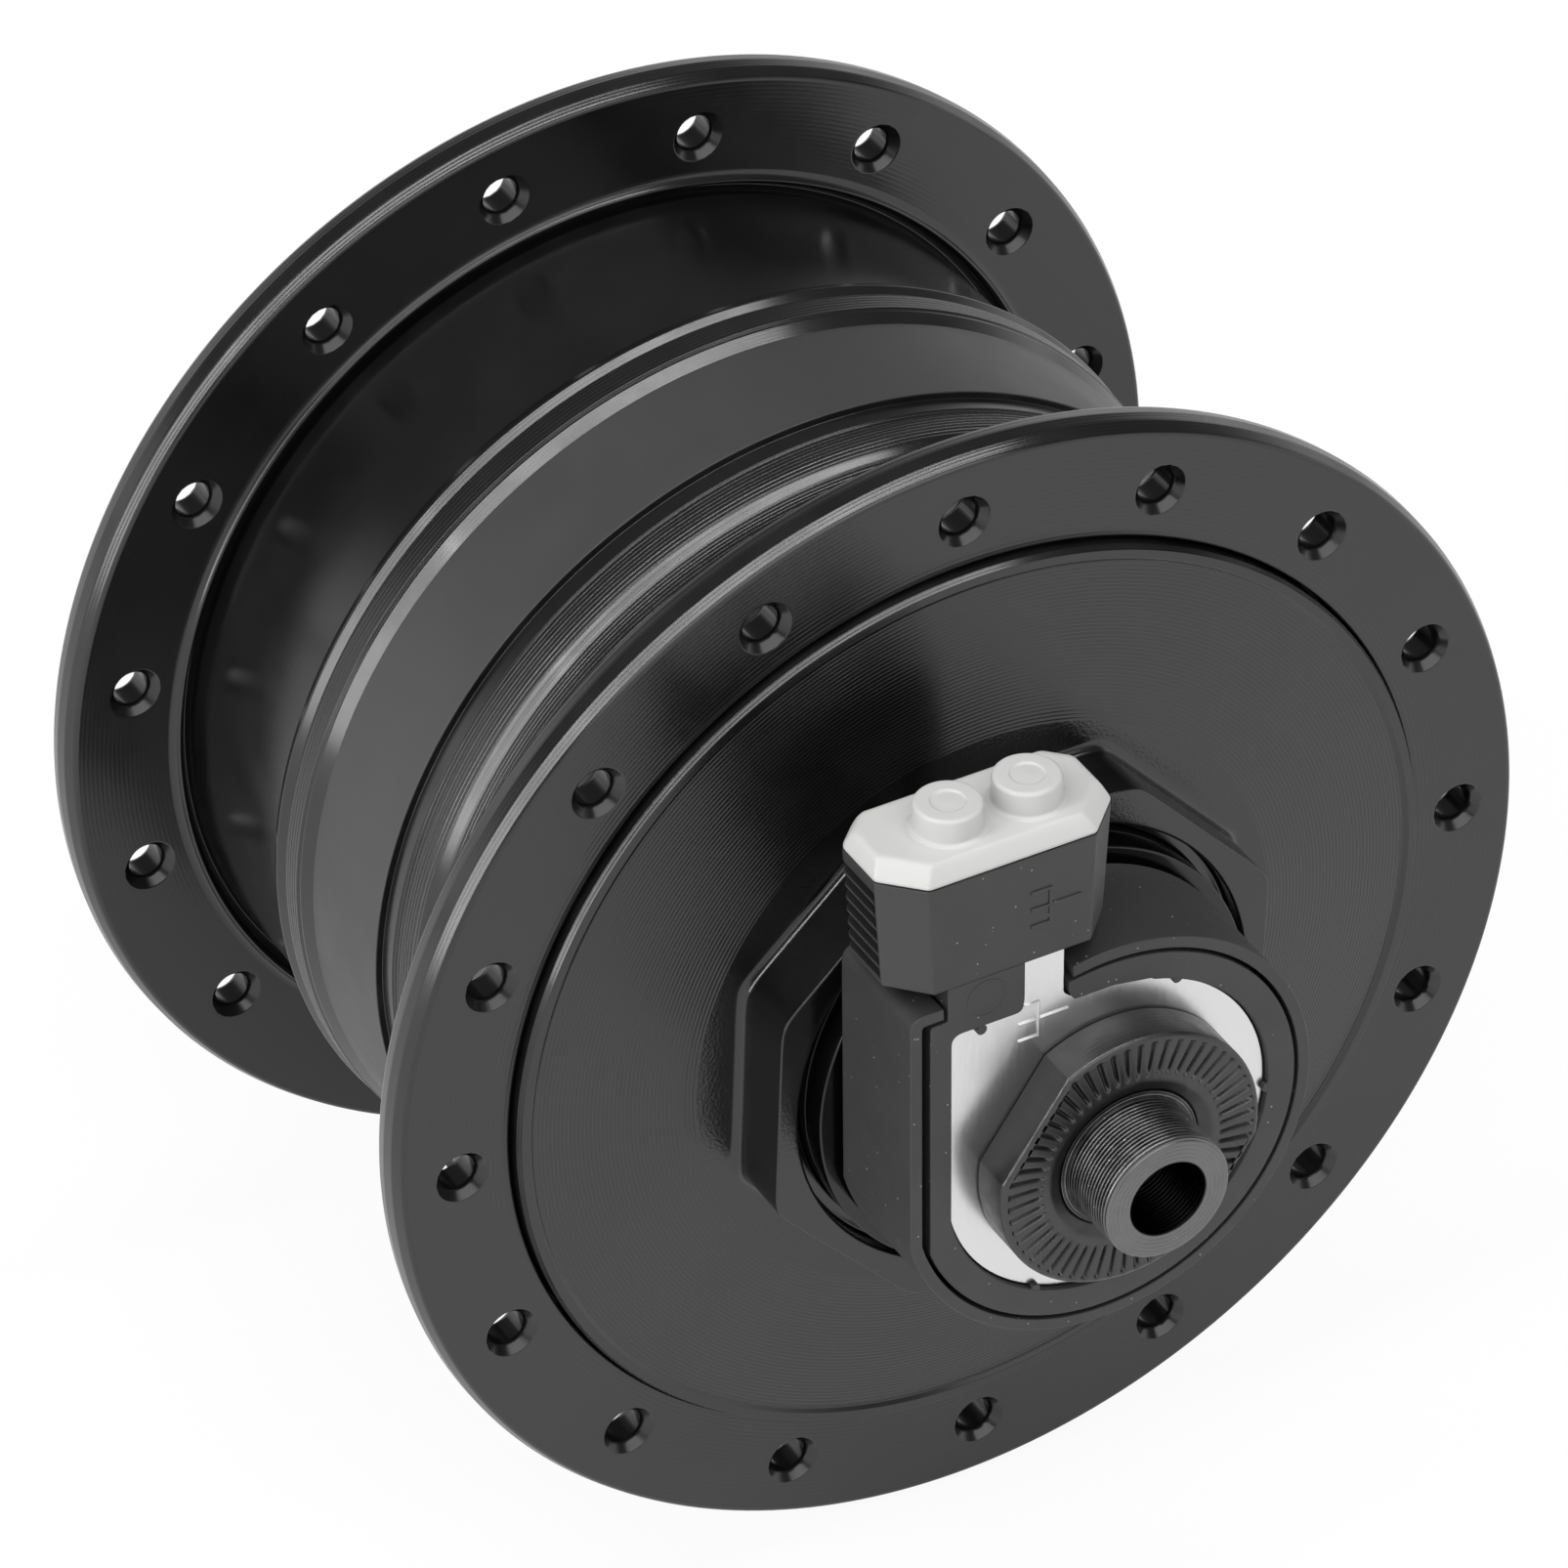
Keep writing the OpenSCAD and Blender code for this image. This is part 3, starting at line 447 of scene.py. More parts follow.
@dataclass(frozen=True)
class Finish:
    """A finish with a plain shader; the subclasses add their patterns.

    Its gloss is a little uneven: a noise of cloud's size in mm and detail moves the
    roughness by swing down and up, as the noise goes through span.
    """

    name: str
    colour: str
    metallic: float
    roughness: float
    ior: float = 1.5
    cloud: Pair = (3.0, 2.0)
    span: Pair = (0.3, 0.7)
    swing: Pair = (0.06, 0.06)

    def make(self) -> Material:
        """Makes the material."""
        material = bpy.data.materials.new(self.name)
        tree = emptied(material)
        shader = add_node(tree, "BsdfPrincipled", {
            "Base Color": linear(self.colour), "Metallic": self.metallic,
            "Roughness": self.roughness, "IOR": self.ior})
        add_node(tree, "OutputMaterial", {"Surface": shader.outputs[0]})
        fill(shader, self.looks(Pattern(tree)))
        return material

    def rough(self, p: Pattern, noise: NodeSocket) -> NodeSocket:
        """Roughness that follows a noise."""
        less, more = self.swing
        return p.ramp(noise, *self.span, self.roughness - less, self.roughness + more)

    def looks(self, p: Pattern) -> dict[str, Term]:
        """What the patterns give the shader's inputs: here only the uneven gloss."""
        return {"Roughness": self.rough(p, p.noise(*self.cloud))}


@dataclass(frozen=True)
class TurnedAnodised(Finish):
    """Turned aluminium under a black anodised layer.

    A dark dielectric layer with a soft gloss that the lathe marks stretch outwards, so
    that a turned face shows fans of light. The marks attribute sets how deep they are.
    The real feed is about 0.1 mm, which a pixel can't show, so it is drawn three times
    coarser, as bumps and as thin grey lines of painted highlight on their crests.

    satin_band holds the two ends of a blasted band on the barrel, and cast_inside the
    radius within which the surface is as cast. Both borders are border mm wide.
    """

    cloud: Pair = (6.0, 3.0)
    swing: Pair = (0.03, 0.03)
    stretch: float = 0.45
    pitch: float = 0.32
    depth: float = 0.035
    border: float = 0.04
    cloud_colour: str = "#121213"
    # Colour of the painted highlight lines on the crests.
    crest_highlight_colour: str = "#3c3c3e"
    crest_highlight_share: float = 0.7
    satin_band: Pair | None = None
    satin_radii: Pair = (32.9, 33.1)
    satin_colour: str = "#333334"
    satin_rough: float = 0.26
    cast_inside: float = 0.0
    cast_smooth: float = 0.05
    cast_grain: Pair = (0.22, 0.03)

    def looks(self, p: Pattern) -> dict[str, Term]:
        """Lathe marks, a faint cloudiness, stretched gloss and, if set, the band and centre."""
        cut, stretch, edge, cloud = p.marks, self.stretch, self.border, p.noise(*self.cloud)
        rough = self.rough(p, cloud)
        colour = p.over(self.colour, self.cloud_colour, p.ramp(cloud, *self.span))
        if self.satin_band:
            (low, high), y = self.satin_band, p.xyz[1]
            band = p.ramp(y, low - edge, low + edge)
            band = p.times(band, p.ramp(y, high + edge, high - edge))
            band = p.times(band, p.ramp(p.radius, *self.satin_radii))
            rough = p.plus(rough, p.times(band, self.satin_rough))
            colour = p.over(colour, self.satin_colour, band)
        if self.cast_inside:
            inside = p.ramp(p.radius, self.cast_inside - edge, self.cast_inside, 1.0, 0.0)
            outside = p.minus(1.0, inside)
            cut, stretch = p.times(cut, outside), p.times(outside, stretch)
            rough = p.minus(rough, p.times(inside, self.cast_smooth))
        bump = p.bump(p.feed(self.pitch), self.depth, cut)
        if self.cast_inside:
            grain, depth = self.cast_grain
            bump = p.bump(p.noise(grain), depth, p.times(p.marks, inside), bump)
        # Painted highlight: thin grey lines on the crests stand in for the glint each crest
        # catches.
        lines = p.times(p.crests(self.pitch), p.times(cut, self.crest_highlight_share))
        return {"Base Color": p.over(colour, self.crest_highlight_colour, lines), "Roughness": rough,
                "Anisotropic": stretch, "Tangent": p.outwards(), "Normal": bump}


@dataclass(frozen=True)
class TurnedSteel(Finish):
    """Turned or ground steel, with marks round the axle and faint stains in its gloss."""

    cloud: Pair = (1.2, 5.0)
    span: Pair = (0.25, 0.75)
    swing: Pair = (0.08, 0.1)
    pitch: float = 0.3
    depth: float = 0.02
    grain: Pair = (0.15, 0.006)

    def looks(self, p: Pattern) -> dict[str, Term]:
        """Turned marks, a fine grain and stained gloss."""
        feed, stain, (grain, depth) = p.feed(self.pitch), p.noise(*self.cloud), self.grain
        return {"Roughness": self.rough(p, stain),
                "Normal": p.bump(p.noise(grain), depth, 1.0, p.bump(feed, self.depth)),
                **self.wear(p, feed, stain)}

    def wear(self, p: Pattern, feed: NodeSocket, stain: NodeSocket) -> dict[str, Term]:
        """What wear adds to the looks: nothing on a plain steel."""
        return {}


@dataclass(frozen=True)
class WornSteel(TurnedSteel):
    """Black oxide on turned steel: rings and stains of grey, and bare metal at the tips.

    worn_beyond is the distance from the axle's middle at which the wear starts, and
    bore_r the radius of the bore, whose wall is painted near black as shade.
    """

    worn_beyond: float = 53.7
    bore_r: float = 2.7
    dark: str = "#343434"
    bright: str = "#a0a0a0"
    speck: str = "#d0d0d0"
    specks: Pair = (0.8, 0.07)
    worn: str = "#767676"
    painted_bore_shade: str = "#0e0e0e"

    def wear(self, p: Pattern, feed: NodeSocket, stain: NodeSocket) -> dict[str, Term]:
        """Rings and stains, pale specks, the worn tips and painted shade in the bore."""
        cut = p.plus(p.times(stain, 0.5), p.times(feed, 0.5))
        colour = p.over(self.dark, self.bright, p.ramp(cut, 0.3, 1.15))
        colour = p.over(colour, self.speck, p.specks(*self.specks))
        reach = p.plus(p.math("ABSOLUTE", p.xyz[1]), p.times(stain, 0.8))
        worn = p.ramp(reach, self.worn_beyond + 0.25, self.worn_beyond + 0.75)
        # Painted shade: the bore's wall goes near black.
        bore = p.ramp(p.radius, self.bore_r + 0.12, self.bore_r + 0.04)
        return {"Base Color": p.over(p.over(colour, self.worn, worn), self.painted_bore_shade, bore)}


@dataclass(frozen=True)
class MouldedPlastic(Finish):
    """Moulded plastic with a fine spark-eroded grain; a dusty one also has painted slot shade.

    The real grain is about 0.05 mm, which a pixel can't show, so it is drawn coarser.
    """

    cloud: Pair = (4.0, 3.0)
    swing: Pair = (0.05, 0.05)
    grain: float = 0.16
    depth: float = 0.012
    dust_and_slot_shade: bool = False
    # Colour of the painted shade in the rib slots.
    painted_slot_shade: str = "#0c0c0c"
    dust: str = "#a4a4a1"
    specks: Pair = (1.0, 0.075)

    def looks(self, p: Pattern) -> dict[str, Term]:
        """The grain, a faint unevenness and, on a dusty one, painted slot shade and pale specks."""
        looks = {"Normal": p.bump(p.noise(self.grain), self.depth),
                 "Roughness": self.rough(p, p.noise(*self.cloud))}
        if self.dust_and_slot_shade:
            # Painted shade: the slots that the marks attribute picks out go towards near black.
            skin = p.over(self.colour, self.painted_slot_shade, p.marks)
            looks["Base Color"] = p.over(skin, self.dust, p.specks(*self.specks))
        return looks


@dataclass(frozen=True)
class BrightPlate(Finish):
    """Rolled sheet metal under a bright plating, with faint rolling lines along Z."""

    cloud: Pair = (0.3, 3.0)
    swing: Pair = (0.02, 0.03)
    lines: float = 0.15

    def looks(self, p: Pattern) -> dict[str, Term]:
        """Rolling lines in the gloss."""
        return {"Roughness": self.rough(p, p.noise(*self.cloud, self.lines))}


class Finishes:
    """All the finishes of the hub, made once."""

    def __init__(self) -> None:
        """Makes the materials."""
        # Deep black with soft fans of light, and one satin band that stays grey.
        self.shell = TurnedAnodised(
            "black anodised turned aluminium", "#0d0d0e", 0.0, 0.22, 1.65,
            satin_band=(-10.75, -1.83)).make()
        # Blacker, with longer fans; smooth and unturned round the boss.
        self.cap = TurnedAnodised(
            "black anodised end cap, turned round a cast centre", "#090909", 0.0, 0.23, 1.65,
            stretch=0.6, pitch=0.3, cast_inside=21.26).make()
        # Dark grey with fine bright rings, and a lighter worn end.
        self.axle = WornSteel(
            "black oxide turned steel with worn tips", "#4a4a4a", 0.9, 0.34, depth=0.05).make()
        # Dark grey metal with a broad soft gloss that the pressed grooves break up.
        self.nut = TurnedSteel(
            "black oxide locknut steel", "#505050", 0.9, 0.36, pitch=0.35, depth=0.004).make()
        # Bright, with narrow highlights.
        self.steel = TurnedSteel("ground bearing steel", "#b9bbbd", 1.0, 0.22, depth=0.006).make()
        # Duller and greyer than the bearings.
        self.zinc = TurnedSteel(
            "zinc-plated turned steel", "#a7a9ab", 1.0, 0.32, depth=0.012).make()
        # Dull grey metal.
        self.iron = TurnedSteel("pressed soft iron", "#77787a", 1.0, 0.45, depth=0.01).make()
        # Nearly white, the brightest metal of the hub.
        self.plate = BrightPlate("bright plated sheet steel", "#e4e4e4", 1.0, 0.24).make()
        # Warm yellow metal.
        self.brass = BrightPlate("plated contact brass", "#c9b06a", 1.0, 0.3).make()
        # Matt charcoal with a fine grain, a few pale specks of dust and painted shade in its slots.
        self.nylon = MouldedPlastic(
            "black moulded nylon", "#363637", 0.0, 0.44, depth=0.016, dust_and_slot_shade=True).make()
        # Shiny black that mirrors the boss's mouth.
        self.lacquer = Finish("black lacquered pressed steel", "#060606", 0.0, 0.16).make()
        # Pale grey and soft, with rounded shading and no sharp highlight.
        self.pale = MouldedPlastic("pale moulded nylon", "#c8c8c6", 0.0, 0.42, depth=0.006).make()
        # Matt black without a highlight.
        self.rubber = MouldedPlastic(
            "moulded seal rubber", "#121212", 0.0, 0.7, grain=0.3, depth=0.03).make()
        # Black with a low sheen on its lip.
        self.seal = MouldedPlastic(
            "smooth black seal rubber", "#080808", 0.0, 0.4, grain=0.3, depth=0.02).make()
        # Red-brown metal under a clear enamel.
        self.copper = Finish("enamelled copper wire", "#a5623a", 0.9, 0.35).make()
        # Flat dark grey, like unglazed ceramic.
        self.magnet = MouldedPlastic("sintered ferrite", "#2f2e30", 0.1, 0.6).make()


# ---------------------------------------------------------------------------
# Sub-assemblies


def earth_sign(skin: Skin, place: Pair, face: float, rise: float, stroke: float) -> None:
    """Adds the general sign for a chassis earth, raised from a face that looks along -Y.

    Args:
        skin: the mesh that it is added to.
        place: x and z of the middle of the sign's bar.
        face: the face's place along Y.
        rise: how far the strokes stand out.
        stroke: their width.
    """
    x, z = place
    half, prong, stem, thin = 1.4, 1.5, 2.1, stroke / 2
    bars = [(x - stroke, x, z - half, z + half), (x, x + stem, z - thin, z + thin)]
    bars += [(x - prong, x - stroke, z + up - thin, z + up + thin)
             for up in (-half + thin, 0.0, half - thin)]
    for left, right, low, high in bars:
        loop = np.array([(left, low), (right, low), (right, high), (left, high)])
        skin.block(loop, face - rise, face + 0.03, rise / 3)


@dataclass
class HubShell:
    """The turned shell: two drilled flanges, the barrel between them and the disc's spline."""

    finishes: Finishes
    flange_r: float = 41.6
    flange_t: float = 3.3
    rim_round: float = 0.85
    spoke_r: float = 37.0
    spoke_hole_r: float = 1.25
    sink_r: float = 1.85
    sink_land: float = 0.12
    spoke_count: int = 16
    spoke_turn: float = -1.0
    right_face: float = -29.9
    left_face: float = 17.65
    band_in: float = 35.0
    band_out: float = 39.4
    per_sector: int = 16
    spline_teeth: int = 18
    spline_root_r: float = 16.3
    spline_r: float = 17.2
    spline_ends: Pair = (34.2, 41.3)
    spline_slot: float = 3.0
    rim_mark: float = 0.12
    right_mark: float = 0.15
    left_mark: float = 0.08
    angles: Array = field(init=False)

    def __post_init__(self) -> None:
        """Lays out the angles so that a point falls on each sector's edge."""
        first = math.radians(self.spoke_turn - 180 / self.spoke_count)
        self.angles = first + on_circle(self.spoke_count * self.per_sector)

    def rim(self, face: float) -> Array:
        """Profile round a flange's crowned rim, from its front face to its back face."""
        back = face + self.flange_t
        r, middle = self.flange_r, face + self.flange_t / 2
        return rounded([
            (self.band_out, face, 0), (r - 0.48, face, 0.45), (r - 0.09, face + 0.9, 0.7),
            (r - 0.03, middle + 0.2, 1.0), (r - 0.3, back, self.rim_round),
            (self.band_out, back, 0)], 8)

    def barrel(self) -> tuple[Array, Array]:
        """Profile of the barrel between the flanges, with the strength of its marks."""
        back = self.right_face + self.flange_t
        flare = ellipse((35.0, back + 7.0), (2.95, 7.0), -90, -180, 14)
        turned_part = rounded([
            (32.05, -18.5, 0), (32.05, -15.88, 2.4), (32.7, -14.6, 2.4), (32.7, -12.25, 0.05),
            (32.84, -12.15, 0.05), (32.84, -10.85, 0.05), (33.3, -10.75, 0.08),
            (33.3, -1.83, 0.08), (33.74, -0.92, 0.1), (33.76, -0.78, 0.05), (33.88, -0.6, 0.08),
            (33.86, 1.1, 0.06), (33.76, 1.3, 0.08), (34.1, 1.95, 0.3), (33.95, 2.5, 0.3),
            (32.6, 3.9, 0.6), (32.6, 18.15, 0.1), (32.78, 18.38, 0.1), (33.12, 18.3, 0.15)], 8)
        lip = rounded([
            (33.12, 18.3, 0), (33.3, 17.5, 0.45), (33.66, 17.08, 0.28), (33.88, 17.5, 0.5),
            (34.25, 17.65, 0.8), (self.band_in, self.left_face, 0)], 6)
        path = np.concatenate([[(self.band_in, back)], flare[1:], turned_part, lip[1:]])
        y = path[:, 1]
        marks = np.full(len(path), 0.03)
        for low, high, strength in ((-21.0, -15.7, 1.0), (-14.8, -12.2, 1.0), (-0.6, 1.15, 0.5)):
            marks[(y >= low) & (y < high)] = strength
        return path, marks

    def end(self) -> tuple[Array, Array]:
        """Profile from the left flange's outer face round the end and back through the bore."""
        back = self.left_face + self.flange_t
        hub = ellipse((33.2, 30.5), (11.7, 30.5 - back), -90, -178, 18)
        root, (start, stop) = self.spline_root_r, self.spline_ends
        nose = rounded([
            (20.9, 31.2, 0), (20.6, 31.5, 0.4), (20.6, start, 0.3), (root, start, 0.2),
            (root, stop, 0.2), (root - 0.4, stop + 0.4, 0.2), (15.2, stop + 0.4, 0.2),
            (14.9, stop, 0.2), (14.9, 39.9, 0.1), (13.5, 39.9, 0.1), (13.5, 33.5, 0.1),
            (12.0, 33.5, 0.1), (12.0, 31.5, 0.3), (24.8, 15.2, 0.5), (24.8, 1.6, 0.3),
            (30.4, 1.6, 0.3), (30.4, -21.6, 0.2), (31.0, -21.7, 0.2), (31.0, -26.9, 0.2),
            (33.6, -26.9, 0.2), (33.6, self.right_face, 0.25), (self.band_in, self.right_face, 0)],
            4)
        path = np.concatenate([[(self.band_in, back)], hub, nose])
        marks = np.where((path[:, 1] > back + 0.5) & (path[:, 0] > 16), 0.8, 0.3)
        return path, marks

    def drilled_band(self, skin: Skin, face: float, first: float, mark: float) -> None:
        """Adds the ring of flange that holds the spoke holes, with both faces and the holes.

        In each sector the points run on straight lines from the hole's edge to the
        sector's outline: P = (1 - t) hole + t outline, then down through the hole along
        a rounded profile and out again on the other face.

        Args:
            skin: the mesh that it is added to.
            face: place of the flange's front face.
            first: angle of the first hole, in degrees.
            mark: strength of the turning marks on the front face.
        """
        half = math.pi / self.spoke_count
        sweep = np.linspace(-half, half, self.per_sector + 1)
        sides = np.linspace(self.band_in, self.band_out, 5)[1:-1]
        outline = np.concatenate([
            np.stack([r * np.sin(a), r * np.cos(a)], 1) for r, a in (
                (self.band_in, sweep), (sides, half + 0 * sides),
                (self.band_out, sweep[::-1]), (sides[::-1], -half + 0 * sides))
        ]) - (0, self.spoke_r)
        way = outline / np.linalg.norm(outline, axis=1, keepdims=True)
        back = face + self.flange_t
        sink, hole, edge = self.sink_r, self.spoke_hole_r, self.sink_r + self.sink_land
        through = rounded([
            (edge, face, 0), (sink, face, 0.25), (hole, face + sink - hole, 0.6),
            (hole, back - sink + hole, 0.6), (sink, back, 0.25), (edge, back, 0)], 4)
        shares = (1, 0.5, 0.12)
        front, rear = ([at_height((1 - t) * way * edge + t * outline, y) for t in shares]
                       for y in (face, back))
        stack = np.stack([*front, *(at_height(way * r, y) for r, y in through), *rear[::-1]])
        u, v, y = stack[..., 0], stack[..., 1] + self.spoke_r, stack[..., 2]
        marks = np.where(np.arange(len(stack))[:, None] < len(shares), mark, 0.0)
        for c, s in spins(math.radians(first), self.spoke_count):
            skin.net(np.stack([u * c + v * s, y, v * c - u * s], -1), mark=marks)

    def teeth(self, skin: Skin) -> None:
        """Adds the spline's teeth, each a rounded block sunk into the root cylinder."""
        root, top = self.spline_root_r, self.spline_r
        half = math.pi / self.spline_teeth - math.asin(self.spline_slot / 2 / root)
        over = np.linspace(-half * root / top, half * root / top, 7)
        radii = np.array([root - 0.3, *np.full(7, top), root - 0.3])
        angles = np.array([-half, *over, half])
        flat = np.stack([radii * np.sin(angles), radii * np.cos(angles)], 1)
        start, stop = self.spline_ends
        for c, s in spins(math.pi / self.spline_teeth, self.spline_teeth):
            skin.block(flat @ np.array([[c, -s], [s, c]]), start - 0.1, stop, 0.18)

    def build(self) -> None:
        """Makes the shell's one piece."""
        skin = Skin()
        for face in (self.right_face, self.left_face):
            skin.net(turned(self.rim(face), self.angles), mark=self.rim_mark)
        for path, marks in (self.barrel(), self.end()):
            skin.net(turned(path, self.angles), mark=marks[:, None])
        first, half_pitch = self.spoke_turn, 180 / self.spoke_count
        self.drilled_band(skin, self.right_face, first, self.right_mark)
        self.drilled_band(skin, self.left_face, first + half_pitch, self.left_mark)
        self.teeth(skin)
        skin.piece("hub_shell", "turned", Body.HUB, self.finishes.shell)


@dataclass
class EndCap:
    """The end cap: a turned plate round an eight-sided boss with the bearing's mouth in it."""

    finishes: Finishes
    boss_half: float = 17.95
    boss_turn: float = -2.5
    boss_front: float = -36.6
    boss_edge: float = 0.12
    foot: float = 0.7
    ring_r: float = 21.26
    ring_y: float = -31.7
    mouth_r: float = 16.5
    angles: Array = field(init=False)

    def __post_init__(self) -> None:
        """Lays out the angles, closer together at the boss's eight corners."""
        corners = np.radians(22.5 - self.boss_turn + 45 * np.arange(8))
        side = np.array([0.3, 0.6, 0.9, 1.3, 1.7, 2.2])
        near = np.radians([*-side[::-1], 0, *side])
        every = np.concatenate([on_circle(256), (corners[:, None] + near).ravel() % (2 * math.pi)])
        self.angles = np.unique(np.round(np.sort(every), 5))

    def boss_radius(self) -> Array:
        """Radius of the boss's outline: half its flats / cos(angle from the nearest flat).

        The corners are eased with the softened maximum of the flats' reaches,
        ln(sum exp(k reach)) / k.
        """
        turn = np.radians(45 * np.arange(8) - self.boss_turn)
        reach = np.maximum(np.cos(self.angles[:, None] - turn[None]), 0.0)
        sharp = 60.0
        return self.boss_half / (np.log(np.sum(np.exp(sharp * reach), 1)) / sharp)

    def build(self) -> None:
        """Makes the cap's one piece from rings that turn from eight-sided to round."""
        plate = rounded([
            (30.9, -21.8, 0), (30.98, -21.9, 0), (30.98, -26.95, 0.1), (33.4, -26.95, 0.1),
            (33.4, -30.43, 0.06), (33.19, -30.83, 0.06), (32.6, -30.85, 0.15),
            (32.3, -30.62, 0.15), (self.ring_r, self.ring_y, 0)], 5)
        front, foot, edge = self.boss_front, self.foot, self.boss_edge
        mouth = rounded([
            (self.mouth_r + 0.5, front, 0), (self.mouth_r, front, 0.25), (self.mouth_r, -34.9, 0.2),
            (15.6, -34.9, 0.2), (15.6, -34.4, 0.1), (13.5, -34.4, 0.1), (13.5, -28.0, 0.1),
            (12.3, -28.0, 0.1), (12.3, -27.6, 0.1), (29.4, -27.6, 0.1), (29.4, -21.8, 0.1),
            (30.9, -21.8, 0)], 4)
        wall, inner = self.boss_radius(), self.ring_r - 0.04
        # Each row is a ring's radius, its place and the strength of its marks.
        rows = [(r, y, 0.4 if r < 32.4 and y < -30 else 0.1) for r, y in plate]
        rows += [(inner + (wall + foot - inner) * t, self.ring_y, 1.0) for t in (0, 0.4, 0.8)]
        rows += [(wall + foot * (1 - math.sin(t)), self.ring_y - foot * (1 - math.cos(t)), 0.15)
                 for t in np.linspace(0, QUARTER, 8)]
        rows += [(wall - edge * (1 - math.cos(t)), front + edge * (1 - math.sin(t)), 0.15 + 0.3 * t)
                 for t in np.linspace(0, QUARTER, 5)]
        rows += [(r, y, 0.5 if y < front + 0.01 else 0.0) for r, y in mouth]
        radii = np.stack([row[0] + 0 * self.angles for row in rows])
        places, marks = (np.array([row[i] for row in rows])[:, None] for i in (1, 2))
        skin = Skin()
        skin.net(polar(radii, places, self.angles), mark=marks)
        skin.piece("end_cap", "turned", Body.HUB, self.finishes.cap)


